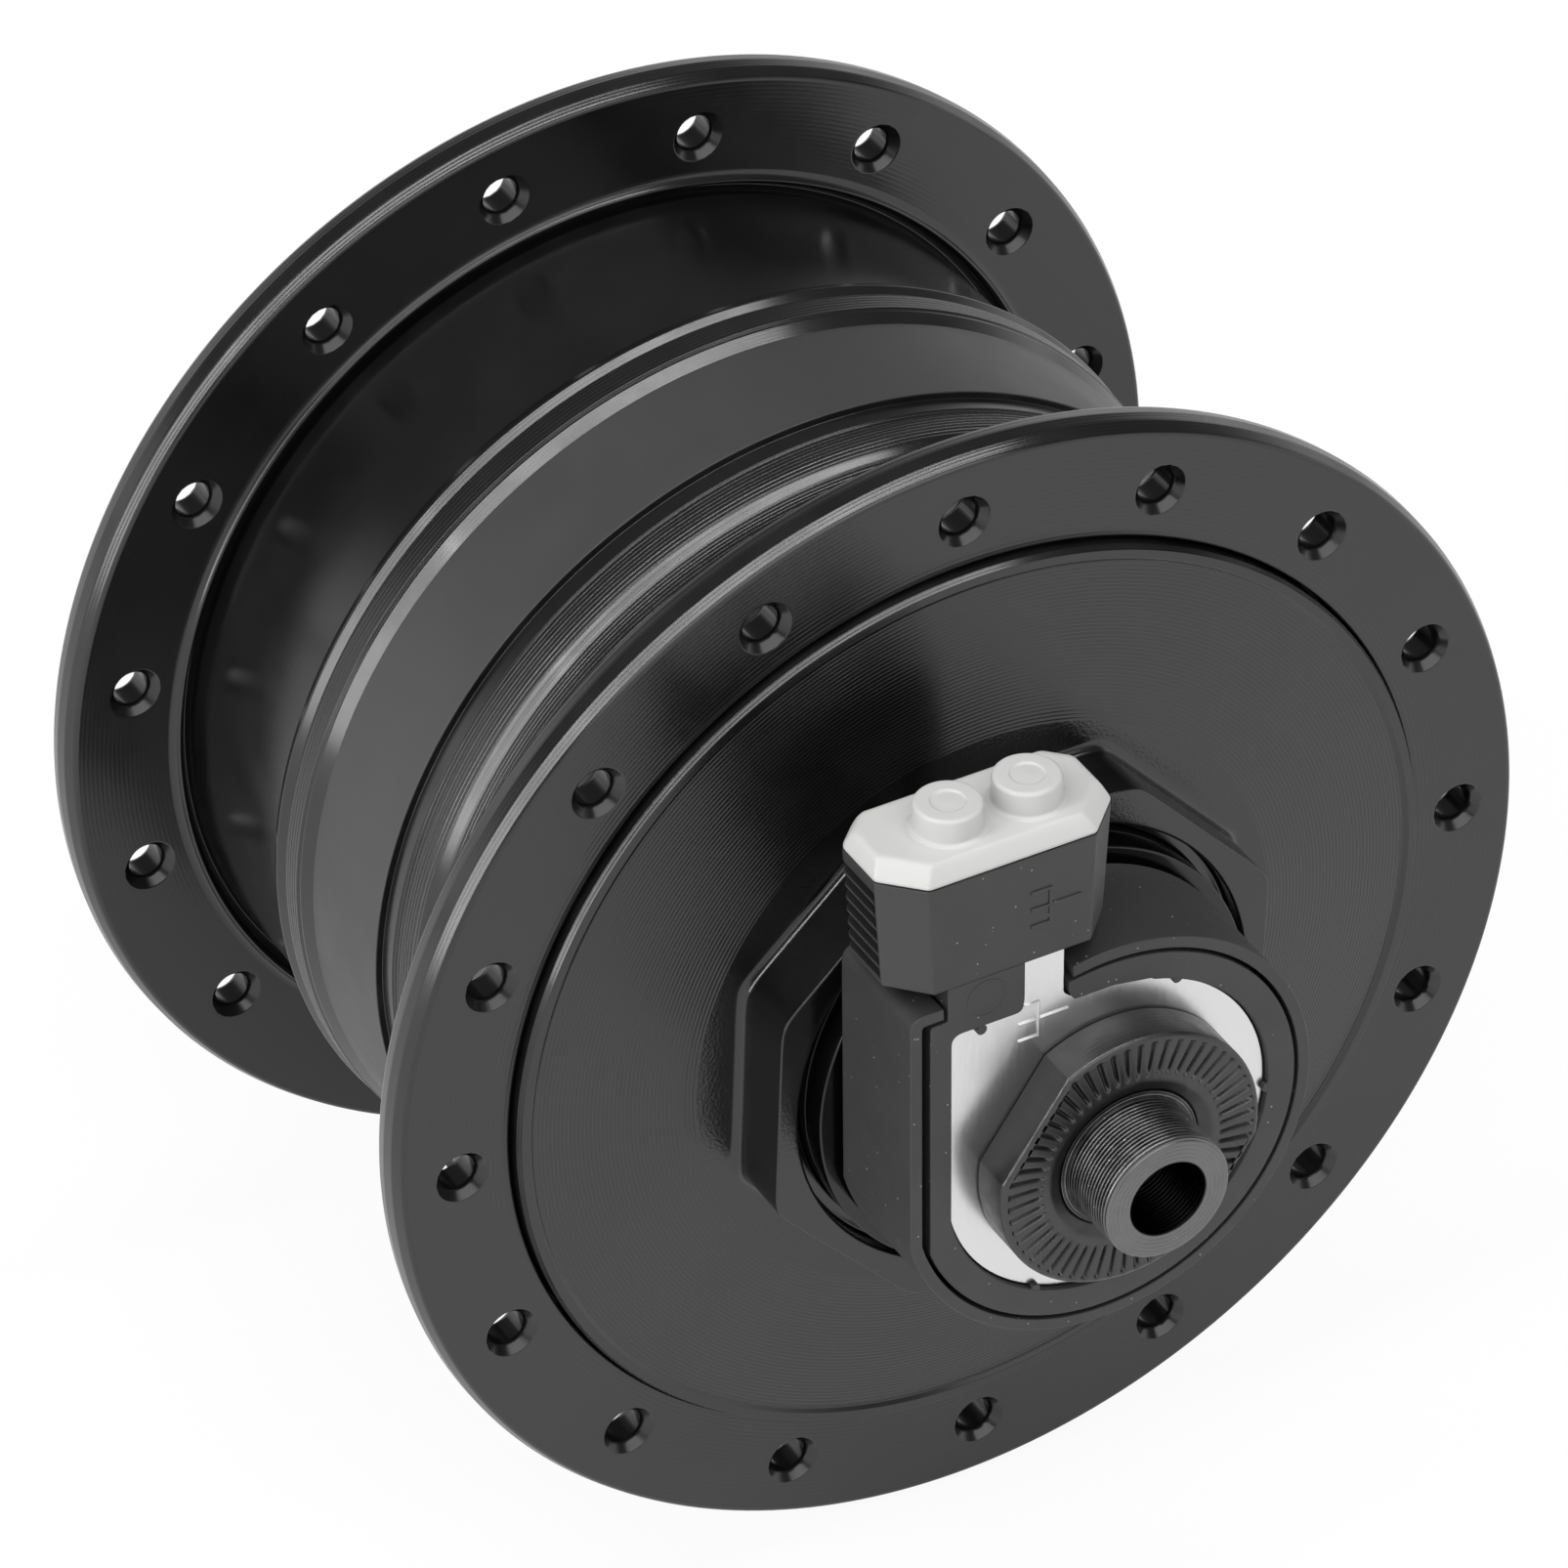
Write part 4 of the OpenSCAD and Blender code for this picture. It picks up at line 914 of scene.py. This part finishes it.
@dataclass
class AxleParts:
    """The axle and what is clamped on it: locknuts, a spacer and dust discs; and the seals."""

    finishes: Finishes
    tip: float = 54.4
    tip_r: float = 4.5
    axle_r: float = 5.0
    bore_r: float = 2.7
    collar: float = 49.7
    play: float = 0.02
    nut_r: float = 9.42
    nut_flats: float = 8.5
    nut_turn: float = 35.0
    nut_face: float = 50.0
    nut_back: float = 46.8
    nut_edge: float = 0.38
    grooves: int = 56
    per_groove: int = 12
    groove_depth: float = 0.3
    groove_ends: Pair = (6.5, 9.05)

    def ring(self, node: str, how: str, corners: list[Corner], slot: str, finish: Material,
             count: int = 160, body: Body = Body.AXLE) -> None:
        """Makes a plain turned piece from its closed profile.

        Args:
            node: the CAD node that it replaces.
            how: how it is made.
            corners: the profile's corners: radius, place and rounding.
            slot: not used.
            finish: its material.
            count: points round it.
            body: the body that it rides on.
        """
        skin = Skin()
        skin.net(turned(rounded(corners, 4, True), on_circle(count)), True, 1.0)
        skin.piece(node, how, body, finish)

    def locknut(self, side: int, node: str) -> None:
        """Makes a locknut whose face is pressed with radial gripping grooves.

        The face is rings of radius r at depth x groove(angle) x fade(r) behind it, where
        groove is a smooth step 3 g^2 - 2 g^3; the outline is the least of the round and
        the two flats, 8.5 / cos(angle).

        Args:
            side: -1 for the right end, 1 for the left.
            node: the CAD node that it replaces.
        """
        angles = on_circle(self.grooves * self.per_groove)
        phase = (np.arange(len(angles)) % self.per_groove) / self.per_groove
        groove = np.clip(1.35 - np.abs(phase - 0.5) * 5.4, 0, 1)
        groove = groove * groove * (3 - 2 * groove)
        reach = np.maximum(np.abs(np.cos(angles - math.radians(90 + self.nut_turn))), 1e-3)
        outline = np.minimum(self.nut_r, self.nut_flats / reach)
        bore, edge, (start, stop) = self.axle_r + self.play, self.nut_edge, self.groove_ends
        deep = self.nut_face - self.nut_back
        # Each row is a ring's radius and its depth behind the face.
        rows = [(bore, 0.6), (bore, 0.45), (bore + 0.15, 0.38)]
        rows += [(r, 0.35 * max(0.0, 5.9 - r) / 0.4) for r in (5.75, 5.9, 6.1, 6.35)]
        for r in np.linspace(start, stop, 12):
            fade = np.clip((r - start + 0.05) / 0.25, 0, 1) * np.clip((stop + 0.1 - r) / 0.2, 0, 1)
            rows.append((np.minimum(r, outline - 0.45 * (r / stop) ** 8),
                         self.groove_depth * groove * fade))
        rows += [(outline - edge * (1 - math.sin(t)), edge * (1 - math.cos(t)))
                 for t in np.linspace(0, QUARTER, 5)]
        rows += [(outline, deep - 0.25), (outline - 0.08, deep - 0.07), (outline - 0.25, deep),
                 (bore, deep)]
        radii, depths = (np.stack([row[i] + 0 * angles for row in rows]) for i in (0, 1))
        skin = Skin()
        skin.net(polar(radii, side * (self.nut_face - depths), angles), True, 0.6)
        skin.piece(node, "pressed", Body.AXLE, self.finishes.nut)

    def build(self) -> None:
        """Makes the axle, nuts, discs, spacer and seals."""
        f, seat, t, c = self.finishes, self.axle_r + self.play, self.tip, self.collar
        self.ring("axle", "turned", [
            (self.bore_r, -t, 0.12), (self.tip_r, -t, 0.32), (self.tip_r, -c, 0.12),
            (self.axle_r, -c, 0.2), (self.axle_r, c, 0.2), (self.tip_r, c, 0.12),
            (self.tip_r, t, 0.32), (self.bore_r, t, 0.12)], "black_oxide_steel", f.axle)
        self.locknut(-1, "right_locknut")
        self.locknut(1, "left_locknut")
        self.ring("right_dust_disc", "pressed", [
            (seat, -37.9, 0.05), (15.68, -37.9, 0.14), (15.68, -36.25, 0.1), (15.1, -36.25, 0.1),
            (15.1, -36.75, 0.1), (seat, -36.75, 0.05)], "black_oxide_steel", f.lacquer, 192)
        self.ring("left_dust_disc", "pressed", [
            (seat, 42.2, 0.05), (13.78, 42.2, 0.1), (13.78, 43.2, 0.25), (10.0, 43.2, 0.3),
            (9.6, 42.95, 0.3), (8.0, 42.95, 0.3), (7.7, 43.2, 0.3), (seat, 43.2, 0.05)],
            "black_oxide_steel", f.nut)
        self.ring("left_spacer", "turned", [
            (seat, 43.2, 0.05), (6.98, 43.2, 0.25), (6.98, 46.8, 0.25), (seat, 46.8, 0.05)],
            "zinc_steel", f.zinc, 128)
        self.ring("right_seal", "moulded", [
            (8.66, -35.6, 0.1), (15.55, -35.6, 0.15), (15.55, -34.46, 0.1), (13.0, -34.46, 0.1),
            (8.66, -35.1, 0.1)], "seal_rubber", f.seal, body=Body.HUB)
        self.ring("left_seal", "moulded", [
            (8.66, 41.1, 0.1), (14.85, 41.1, 0.3), (14.85, 39.96, 0.1), (13.0, 39.96, 0.1),
            (8.66, 40.6, 0.1)], "seal_rubber", f.seal, body=Body.HUB)


@dataclass
class Terminal:
    """The terminal on the axle: its case, the block in the case and the earth plate.

    Each of case, pocket, block and window holds x at its flat left side and its radius.
    """

    finishes: Finishes
    front: float = -47.2
    case_back: float = -38.5
    block_back: float = -40.2
    plate_front: float = -46.8
    plate_back: float = -46.3
    case: Pair = (-14.4, 14.85)
    pocket: Pair = (-13.55, 14.0)
    block: Pair = (-13.0, 13.74)
    window: Pair = (-11.45, 11.7)
    window_top: float = 12.44
    window_end: float = 3.2
    neck: Pair = (-11.75, -3.0)
    tab: Pair = (-6.15, -3.2)
    seat: float = 16.3
    blade_top: float = 21.0
    plate_gap: float = 0.08
    spacing: float = 1.5
    sign_place: Pair = (-5.0, 11.2)
    ejector: Pair = (-9.0, 14.6)
    bump_r: float = 0.38
    crush_bumps: tuple[Pair, ...] = ((4.86, 10.7), (-9.3, 12.15), (11.7, -0.8), (-5.3, -10.45))

    def arc(self, r: float, side: float, right_x: float, count: int = 80) -> Array:
        """Arc of radius r, clockwise from x = right_x at the top round to x = side at the left."""
        end = math.asin(math.sqrt(r * r - side * side) / r) - math.pi
        t = np.linspace(math.acos(right_x / r), end, count)
        return np.stack([r * np.cos(t), r * np.sin(t)], 1)

    def wall(self) -> Array:
        """Outline of the case's wall, a C that is open at the top for the plug's neck."""
        low, high = self.neck[0] - 0.25, self.neck[1] + 0.25
        side, r, inner_side, inner_r = *self.case, *self.pocket
        corner = rounded([
            (side, -3.0, 0), (side, r, 1.1), (low, r, 0.15), (low, inner_r, 0.1),
            (inner_side, inner_r, 0.3), (inner_side, -3.0, 0)], 5)
        inner = self.arc(inner_r, inner_side, high)[::-1]
        return np.concatenate([self.arc(r, side, high), corner, inner])

    def block_ring(self) -> Array:
        """Outline of the block round its window, a C that is open where the tab comes up."""
        (left, right), beside, top = self.neck, self.tab[0] - 0.15, self.window_top
        side, r, window_side, window_r = *self.block, *self.window
        corner = rounded([
            (side, -3.5, 0), (side, r, 0.35), (left, r, 0.15), (left, self.seat, 0.2),
            (beside, self.seat, 0.15), (beside, top, 0.6), (window_side, top, 0.8),
            (window_side, -2.2, 0)], 6)
        close = rounded([
            (2.9, 11.45, 0), (0.2, 11.95, 3.0), (right + 0.3, 11.95, 0.4), (right, 12.7, 0.3),
            (right, 13.2, 0)], 5)
        inner = self.arc(window_r, window_side, self.window_end)[::-1]
        return np.concatenate([self.arc(r, side, right), corner, inner, close])

    def plate(self) -> Array:
        """Outline of the earth plate: the window's, a little smaller, and the tab."""
        g, (left, right) = self.plate_gap, self.tab
        side, top, tip = self.window[0] + g, self.window_top - g, self.blade_top
        corner = rounded([
            (side, -2.2, 0), (side, top, 0.75), (left + g, top, 0.65), (left + g, tip, 0.5),
            (right, tip, 0.5), (right, 12.5, 0.5), (-2.5, 11.87, 0.3), (0.2, 11.87, 3.0),
            (2.9, 11.35, 0)], 6)
        arc = self.arc(self.window[1] - g, side, self.window_end, 90)
        return np.concatenate([arc, corner])

    def build(self) -> None:
        """Makes the case, the block and the plate."""
        f, turn = self.finishes, on_circle(40)
        case = Skin()
        case.block(resampled(self.wall(), self.spacing), self.front, self.case_back, 0.1)
        side, r = self.case[0] + 0.15, self.case[1] - 0.15
        corner = rounded([(side, -3.0, 0), (side, r, 1.0), (-0.5, r, 0)], 4)
        floor = np.concatenate([self.arc(r, side, 0.0), corner])
        case.block(floor, self.block_back, self.case_back + 0.02, 0.1)
        case.piece("terminal_case", "moulded", Body.AXLE, f.nylon)
        block = Skin()
        ring = resampled(self.block_ring(), self.spacing)
        block.block(ring, self.front, self.block_back - 0.02, 0.12)
        left, right = self.tab[0] - 0.3, self.neck[1]
        neck = np.array([(left, 12.0), (right, 12.0), (right, self.seat), (left, self.seat)])
        block.block(neck, self.plate_back + 0.02, self.block_back - 0.04, 0.08)
        low, high = self.front + 0.05, self.front - 0.03
        bead = rounded([(1.25, low, 0), (1.27, high, 0.02), (1.4, high, 0.02), (1.42, low, 0)], 2)
        block.net(turned(bead, turn) + (self.ejector[0], 0, self.ejector[1]), True)
        for x, z in self.crush_bumps:
            bump = self.bump_r * np.stack([np.sin(turn[::4]), np.cos(turn[::4])], 1) + (x, z)
            block.block(bump, self.front + 0.02, self.plate_front - 0.02, 0.06)
        block.piece("terminal_block", "moulded", Body.AXLE, f.nylon)
        plate = Skin()
        plate.block(resampled(self.plate(), self.spacing), self.plate_front, self.plate_back, 0.07)
        earth_sign(plate, self.sign_place, self.plate_front, 0.12, 0.15)
        plate.piece("earth_plate", "pressed", Body.AXLE, f.plate)


@dataclass
class Plug:
    """The plug: a ribbed cover with cut corners and its pale cap with two nubs."""

    finishes: Finishes
    centre_x: float = -7.2
    front: float = -47.3
    depth: float = 8.0
    half_top: float = 8.4
    taper: float = 0.5
    front_corner: float = 2.45
    rear_corner: float = 1.5
    foot: float = 16.3
    top: float = 24.4
    rib_pitch: float = 1.0
    rib_count: int = 7
    rib_depth: float = 0.8
    pocket_share: float = 0.6
    cap_gap: float = 0.06
    cap_height: float = 1.45
    nub_r: float = 2.25
    nub_height: float = 1.85
    nub_x: Pair = (-9.65, -4.05)
    nub_y: float = -43.5
    sign_place: Pair = (-4.45, 20.3)

    def outline(self, shrink: Corner = (0, 0, 0), soft: float = 0.35) -> Array:
        """Outline from above with cut corners; shrink is for the sides, front and rear."""
        side, ahead, behind = shrink
        a, b = self.half_top - side, self.front + ahead
        c, fc, rc = self.front + self.depth - behind, self.front_corner, self.rear_corner
        x, rear = self.centre_x, soft * 1.6
        return rounded([
            (x - a, b + fc, soft), (x - a + fc, b, soft), (x + a - fc, b, soft),
            (x + a, b + fc, soft), (x + a, c - rc, rear), (x + a - rc, c, rear),
            (x - a + rc, c, rear), (x - a, c - rc, rear)], 5, True)

    def cover(self) -> None:
        """Makes the cover: outlines stacked up Z, pressed in on both sides for the ribs.

        The side walls go in by rib_depth x slot(z) x window(y), where slot is 1 in each of
        the slots and window ends the slots before the corners, with a deeper pocket at
        each slot's front end.
        """
        foot, top, x = self.foot, self.top, self.centre_x
        slots = foot + 0.5 + self.rib_pitch * np.arange(self.rib_count)[:, None]
        across = slots + (-0.07, -0.02, 0.03, 0.68, 0.73, 0.78)
        levels = [(z, 0.0) for z in (foot, foot + 0.04, foot + 0.14, top - 0.1, top - 0.03, top)]
        levels += zip(across.ravel(), [0.0, 0.06, 1.0, 1.0, 0.06, 0.0] * self.rib_count)
        levels.sort()
        edges = {foot: 0.12, foot + 0.04: 0.05, top - 0.03: 0.04, top: 0.1}
        base = resampled(self.outline(), 0.2)
        slot_end = self.front + self.front_corner + 0.25
        window = np.clip((base[:, 1] - slot_end) * 9, 0, 1)
        pocket = np.clip((slot_end + 0.7 - base[:, 1]) * 9, 0, 1)
        window = window * (1 + self.pocket_share * pocket)
        beside = np.clip((np.abs(base[:, 0] - x) - (self.half_top - 1.2)) * 3, 0, 1)
        rings = []
        for z, depth in levels:
            half = self.half_top - self.taper * (1 - (z - foot) / (top - foot))
            ring = base.copy()
            ring[:, 0] = x + (base[:, 0] - x) * half / self.half_top
            ring[:, 0] -= np.sign(ring[:, 0] - x) * self.rib_depth * depth * window * beside
            rings.append(at_height(inset(ring, edges.get(z, 0.0)), z))
        deep = np.array([depth for _, depth in levels])[:, None]
        # Share of painted shade in the rib slots, strongest at the slots' bottoms.
        painted_slot_shade = np.clip(window, 0, 1) * beside * (0.6 + 0.4 * deep) * (deep > 0)
        skin = Skin()
        skin.net(np.stack(rings), mark=painted_slot_shade, capped=True)
        earth_sign(skin, self.sign_place, self.front, 0.1, 0.22)
        skin.piece("plug_cover", "moulded", Body.PLUG, self.finishes.nylon)

    def cap(self) -> None:
        """Makes the cap: a bevelled plate, softened all round, with two nubs on it."""
        foot = self.top + self.cap_gap
        top = foot + self.cap_height - 0.06
        levels = [
            ((0.18, 0.18, 0.18), 0.0), ((0.06, 0.06, 0.06), 0.05), ((0.02, 0.02, 0.02), 0.16),
            ((0.03, 0.03, 0.03), 0.3), ((0.16, 0.22, 0.1), 0.62), ((0.36, 0.46, 0.2), 1.02),
            ((0.52, 0.66, 0.34), 1.27), ((0.68, 0.82, 0.52), 1.37), ((0.9, 1.0, 0.75), top - foot)]
        skin = Skin()
        skin.net(np.stack([
            at_height(resampled(self.outline(shrink, 0.5), 9.0), foot + up)
            for shrink, up in levels]), capped=True)
        angles = on_circle(72)
        r, up = self.nub_r, top + self.nub_height
        path = rounded([
            (r + 0.35, top - 0.05, 0), (r + 0.3, top + 0.02, 0.1), (r, top + 0.12, 0.3),
            (r - 0.04, up, 0.32), (r * 0.52, up, 0.1), (r * 0.46, up - 0.12, 0.12),
            (0.02, up - 0.06, 0)], 5)
        radii, heights = path[:, 0, None], path[:, 1, None] + 0 * angles
        for x in self.nub_x:
            across, along = x + radii * np.cos(angles), self.nub_y + radii * np.sin(angles)
            skin.net(np.stack([across, along, heights], -1), capped=True)
        skin.piece("plug_cap", "moulded", Body.CAP, self.finishes.pale)

    def build(self) -> None:
        """Makes the cover and the cap."""
        self.cover()
        self.cap()


@dataclass
class HiddenParts:
    """The CAD nodes that keep their own shape, inside the hub or behind other pieces."""

    finishes: Finishes
    nodes: dict[str, Object]

    def build(self) -> None:
        """Gives each of them its finish."""
        f = self.finishes
        dressed = {
            f.steel: "right_cone left_cone right_cup left_cup right_balls left_balls",
            f.zinc: "right_spacer right_cage left_cage magnet_yoke stator_nut",
            f.iron: "stator_core right_claw_ring left_claw_ring",
            f.nylon: "coil_bobbin",
            f.copper: "coil_winding",
            f.rubber: "coil_lead cap_o_ring",
            f.magnet: "magnet_segments",
            f.brass: "live_contact plug_contacts",
        }
        for finish, names in dressed.items():
            for name in names.split():
                mesh = self.nodes[name].data
                mesh.materials.clear()
                mesh.materials.append(finish)


@dataclass
class Studio:
    """The pale floor, the soft lights and the camera at the photograph's angle.

    The floor's shares are of its plain white glow: all that the camera sees of it but a
    tenth, which keeps the shadow, and about half of what a glossy surface mirrors.
    """

    floor_z: float = -41.65
    floor_reach: float = 30.0
    floor_colour: str = "#e6e6e6"
    glow: float = 1.03
    glow_share: float = 0.9
    gloss_share: float = 0.45
    backdrop: Pair = (0.05, 0.42)
    ceiling: float = 0.14
    eye: Corner = (-226.13, -418.38, 354.46)
    forward: Corner = (0.38363, 0.70123, -0.60092)
    roll: float = math.radians(0.71)
    lens: float = 203.95
    sensor: float = 36.0
    clip: Pair = (0.01, 50.0)

    def place(self, name: str, data: ID, axes: list[Array], where: Corner) -> Object:
        """Puts a camera or a lamp in the scene, with its X, Y and Z axes and its place."""
        thing = bpy.data.objects.new(name, data)
        turn = Matrix(np.stack(axes, 1).tolist()).to_4x4()
        thing.matrix_world = Matrix.Translation(where) @ turn
        bpy.context.scene.collection.objects.link(thing)
        return thing

    def camera(self) -> None:
        """Places the camera, rolled so that +Z leans a little to the left in the frame."""
        view = np.array(self.forward) / np.linalg.norm(self.forward)
        right = np.cross(view, (0, 0, 1))
        right /= np.linalg.norm(right)
        up = np.cross(right, view)
        c, s = math.cos(self.roll), math.sin(self.roll)
        data = bpy.data.cameras.new("photo_camera")
        data.lens, data.sensor_width = self.lens, self.sensor
        data.clip_start, data.clip_end = self.clip
        axes, where = [c * right - s * up, c * up + s * right, -view], [v * MM for v in self.eye]
        bpy.context.scene.camera = self.place("photo_camera", data, axes, where)

    def lamp(self, name: str, where: Corner, size: Pair, power: float) -> None:
        """Adds a soft box at a place in metres that faces the hub, its size across and along Y."""
        data = bpy.data.lights.new(name, "AREA")
        data.shape, data.size, data.size_y, data.energy = "RECTANGLE", *size, power
        away = np.array(where) / np.linalg.norm(where)
        over = np.array((0.0, 1.0, 0.0)) - away[1] * away
        over /= np.linalg.norm(over)
        self.place(name, data, [np.cross(over, away), over, away], where)

    def floor(self) -> None:
        """Lays a wide pale floor that looks white to camera and gloss but keeps a soft shadow."""
        mesh = bpy.data.meshes.new("floor")
        reach, z = self.floor_reach, self.floor_z * MM
        corners = [(-reach, -reach, z), (reach, -reach, z), (reach, reach, z), (-reach, reach, z)]
        mesh.from_pydata(corners, [], [(0, 1, 2, 3)])
        material = bpy.data.materials.new("matt white floor")
        tree = emptied(material)
        sums, ray = Sums(tree), add_node(tree, "LightPath").outputs
        matt = add_node(tree, "BsdfDiffuse", {"Color": linear(self.floor_colour)})
        glow = add_node(tree, "Emission", {"Color": (1, 1, 1, 1), "Strength": self.glow})
        gloss = sums.times(ray["Is Glossy Ray"], self.gloss_share)
        seen = sums.math("MAXIMUM", ray["Is Camera Ray"], gloss)
        seen = sums.math("MAXIMUM", seen, ray["Is Transmission Ray"])
        mix = add_node(tree, "MixShader", {
            0: sums.times(seen, self.glow_share), 1: matt.outputs[0], 2: glow.outputs[0]})
        add_node(tree, "OutputMaterial", {"Surface": mix.outputs[0]})
        mesh.materials.append(material)
        thing = bpy.data.objects.new("floor", mesh)
        bpy.context.scene.collection.objects.link(thing)

    def world(self) -> None:
        """Fills the studio with soft white light from a low backdrop under a darker ceiling."""
        world = bpy.data.worlds.new("studio")
        bpy.context.scene.world = world
        tree = emptied(world)
        sums, ray = Sums(tree), add_node(tree, "LightPath").outputs
        way = add_node(tree, "TexCoord").outputs["Generated"]
        height = add_node(tree, "SeparateXYZ", {0: way}).outputs["Z"]
        glow = sums.ramp(height, *self.backdrop, 1.0, self.ceiling)
        light = add_node(tree, "Background", {
            "Color": (1, 1, 1, 1), "Strength": sums.math("MAXIMUM", ray["Is Camera Ray"], glow)})
        add_node(tree, "OutputWorld", {"Surface": light.outputs[0]})

    def build(self) -> None:
        """Sets up the whole studio."""
        self.camera()
        self.floor()
        self.world()
        self.lamp("left_softbox", (-1.2, -0.02, 0.45), (1.1, 0.3), 6.5)
        self.lamp("overhead_strip", (-0.2, -0.06, 1.2), (2.0, 0.2), 11.0)
        self.lamp("front_softbox", (-0.1, -0.9, 0.9), (1.6, 0.9), 8.0)
        bpy.context.scene.view_settings.view_transform = "Standard"


def main() -> None:
    """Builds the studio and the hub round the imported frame."""
    logging.basicConfig(level=logging.INFO, format="%(name)s: %(message)s")
    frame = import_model()
    Studio().build()
    finishes = Finishes()
    for assembly in (HubShell, EndCap, AxleParts, Terminal, Plug):
        assembly(finishes).build()
    HiddenParts(finishes, frame["nodes"]).build()


if __name__ == "__main__":
    main()
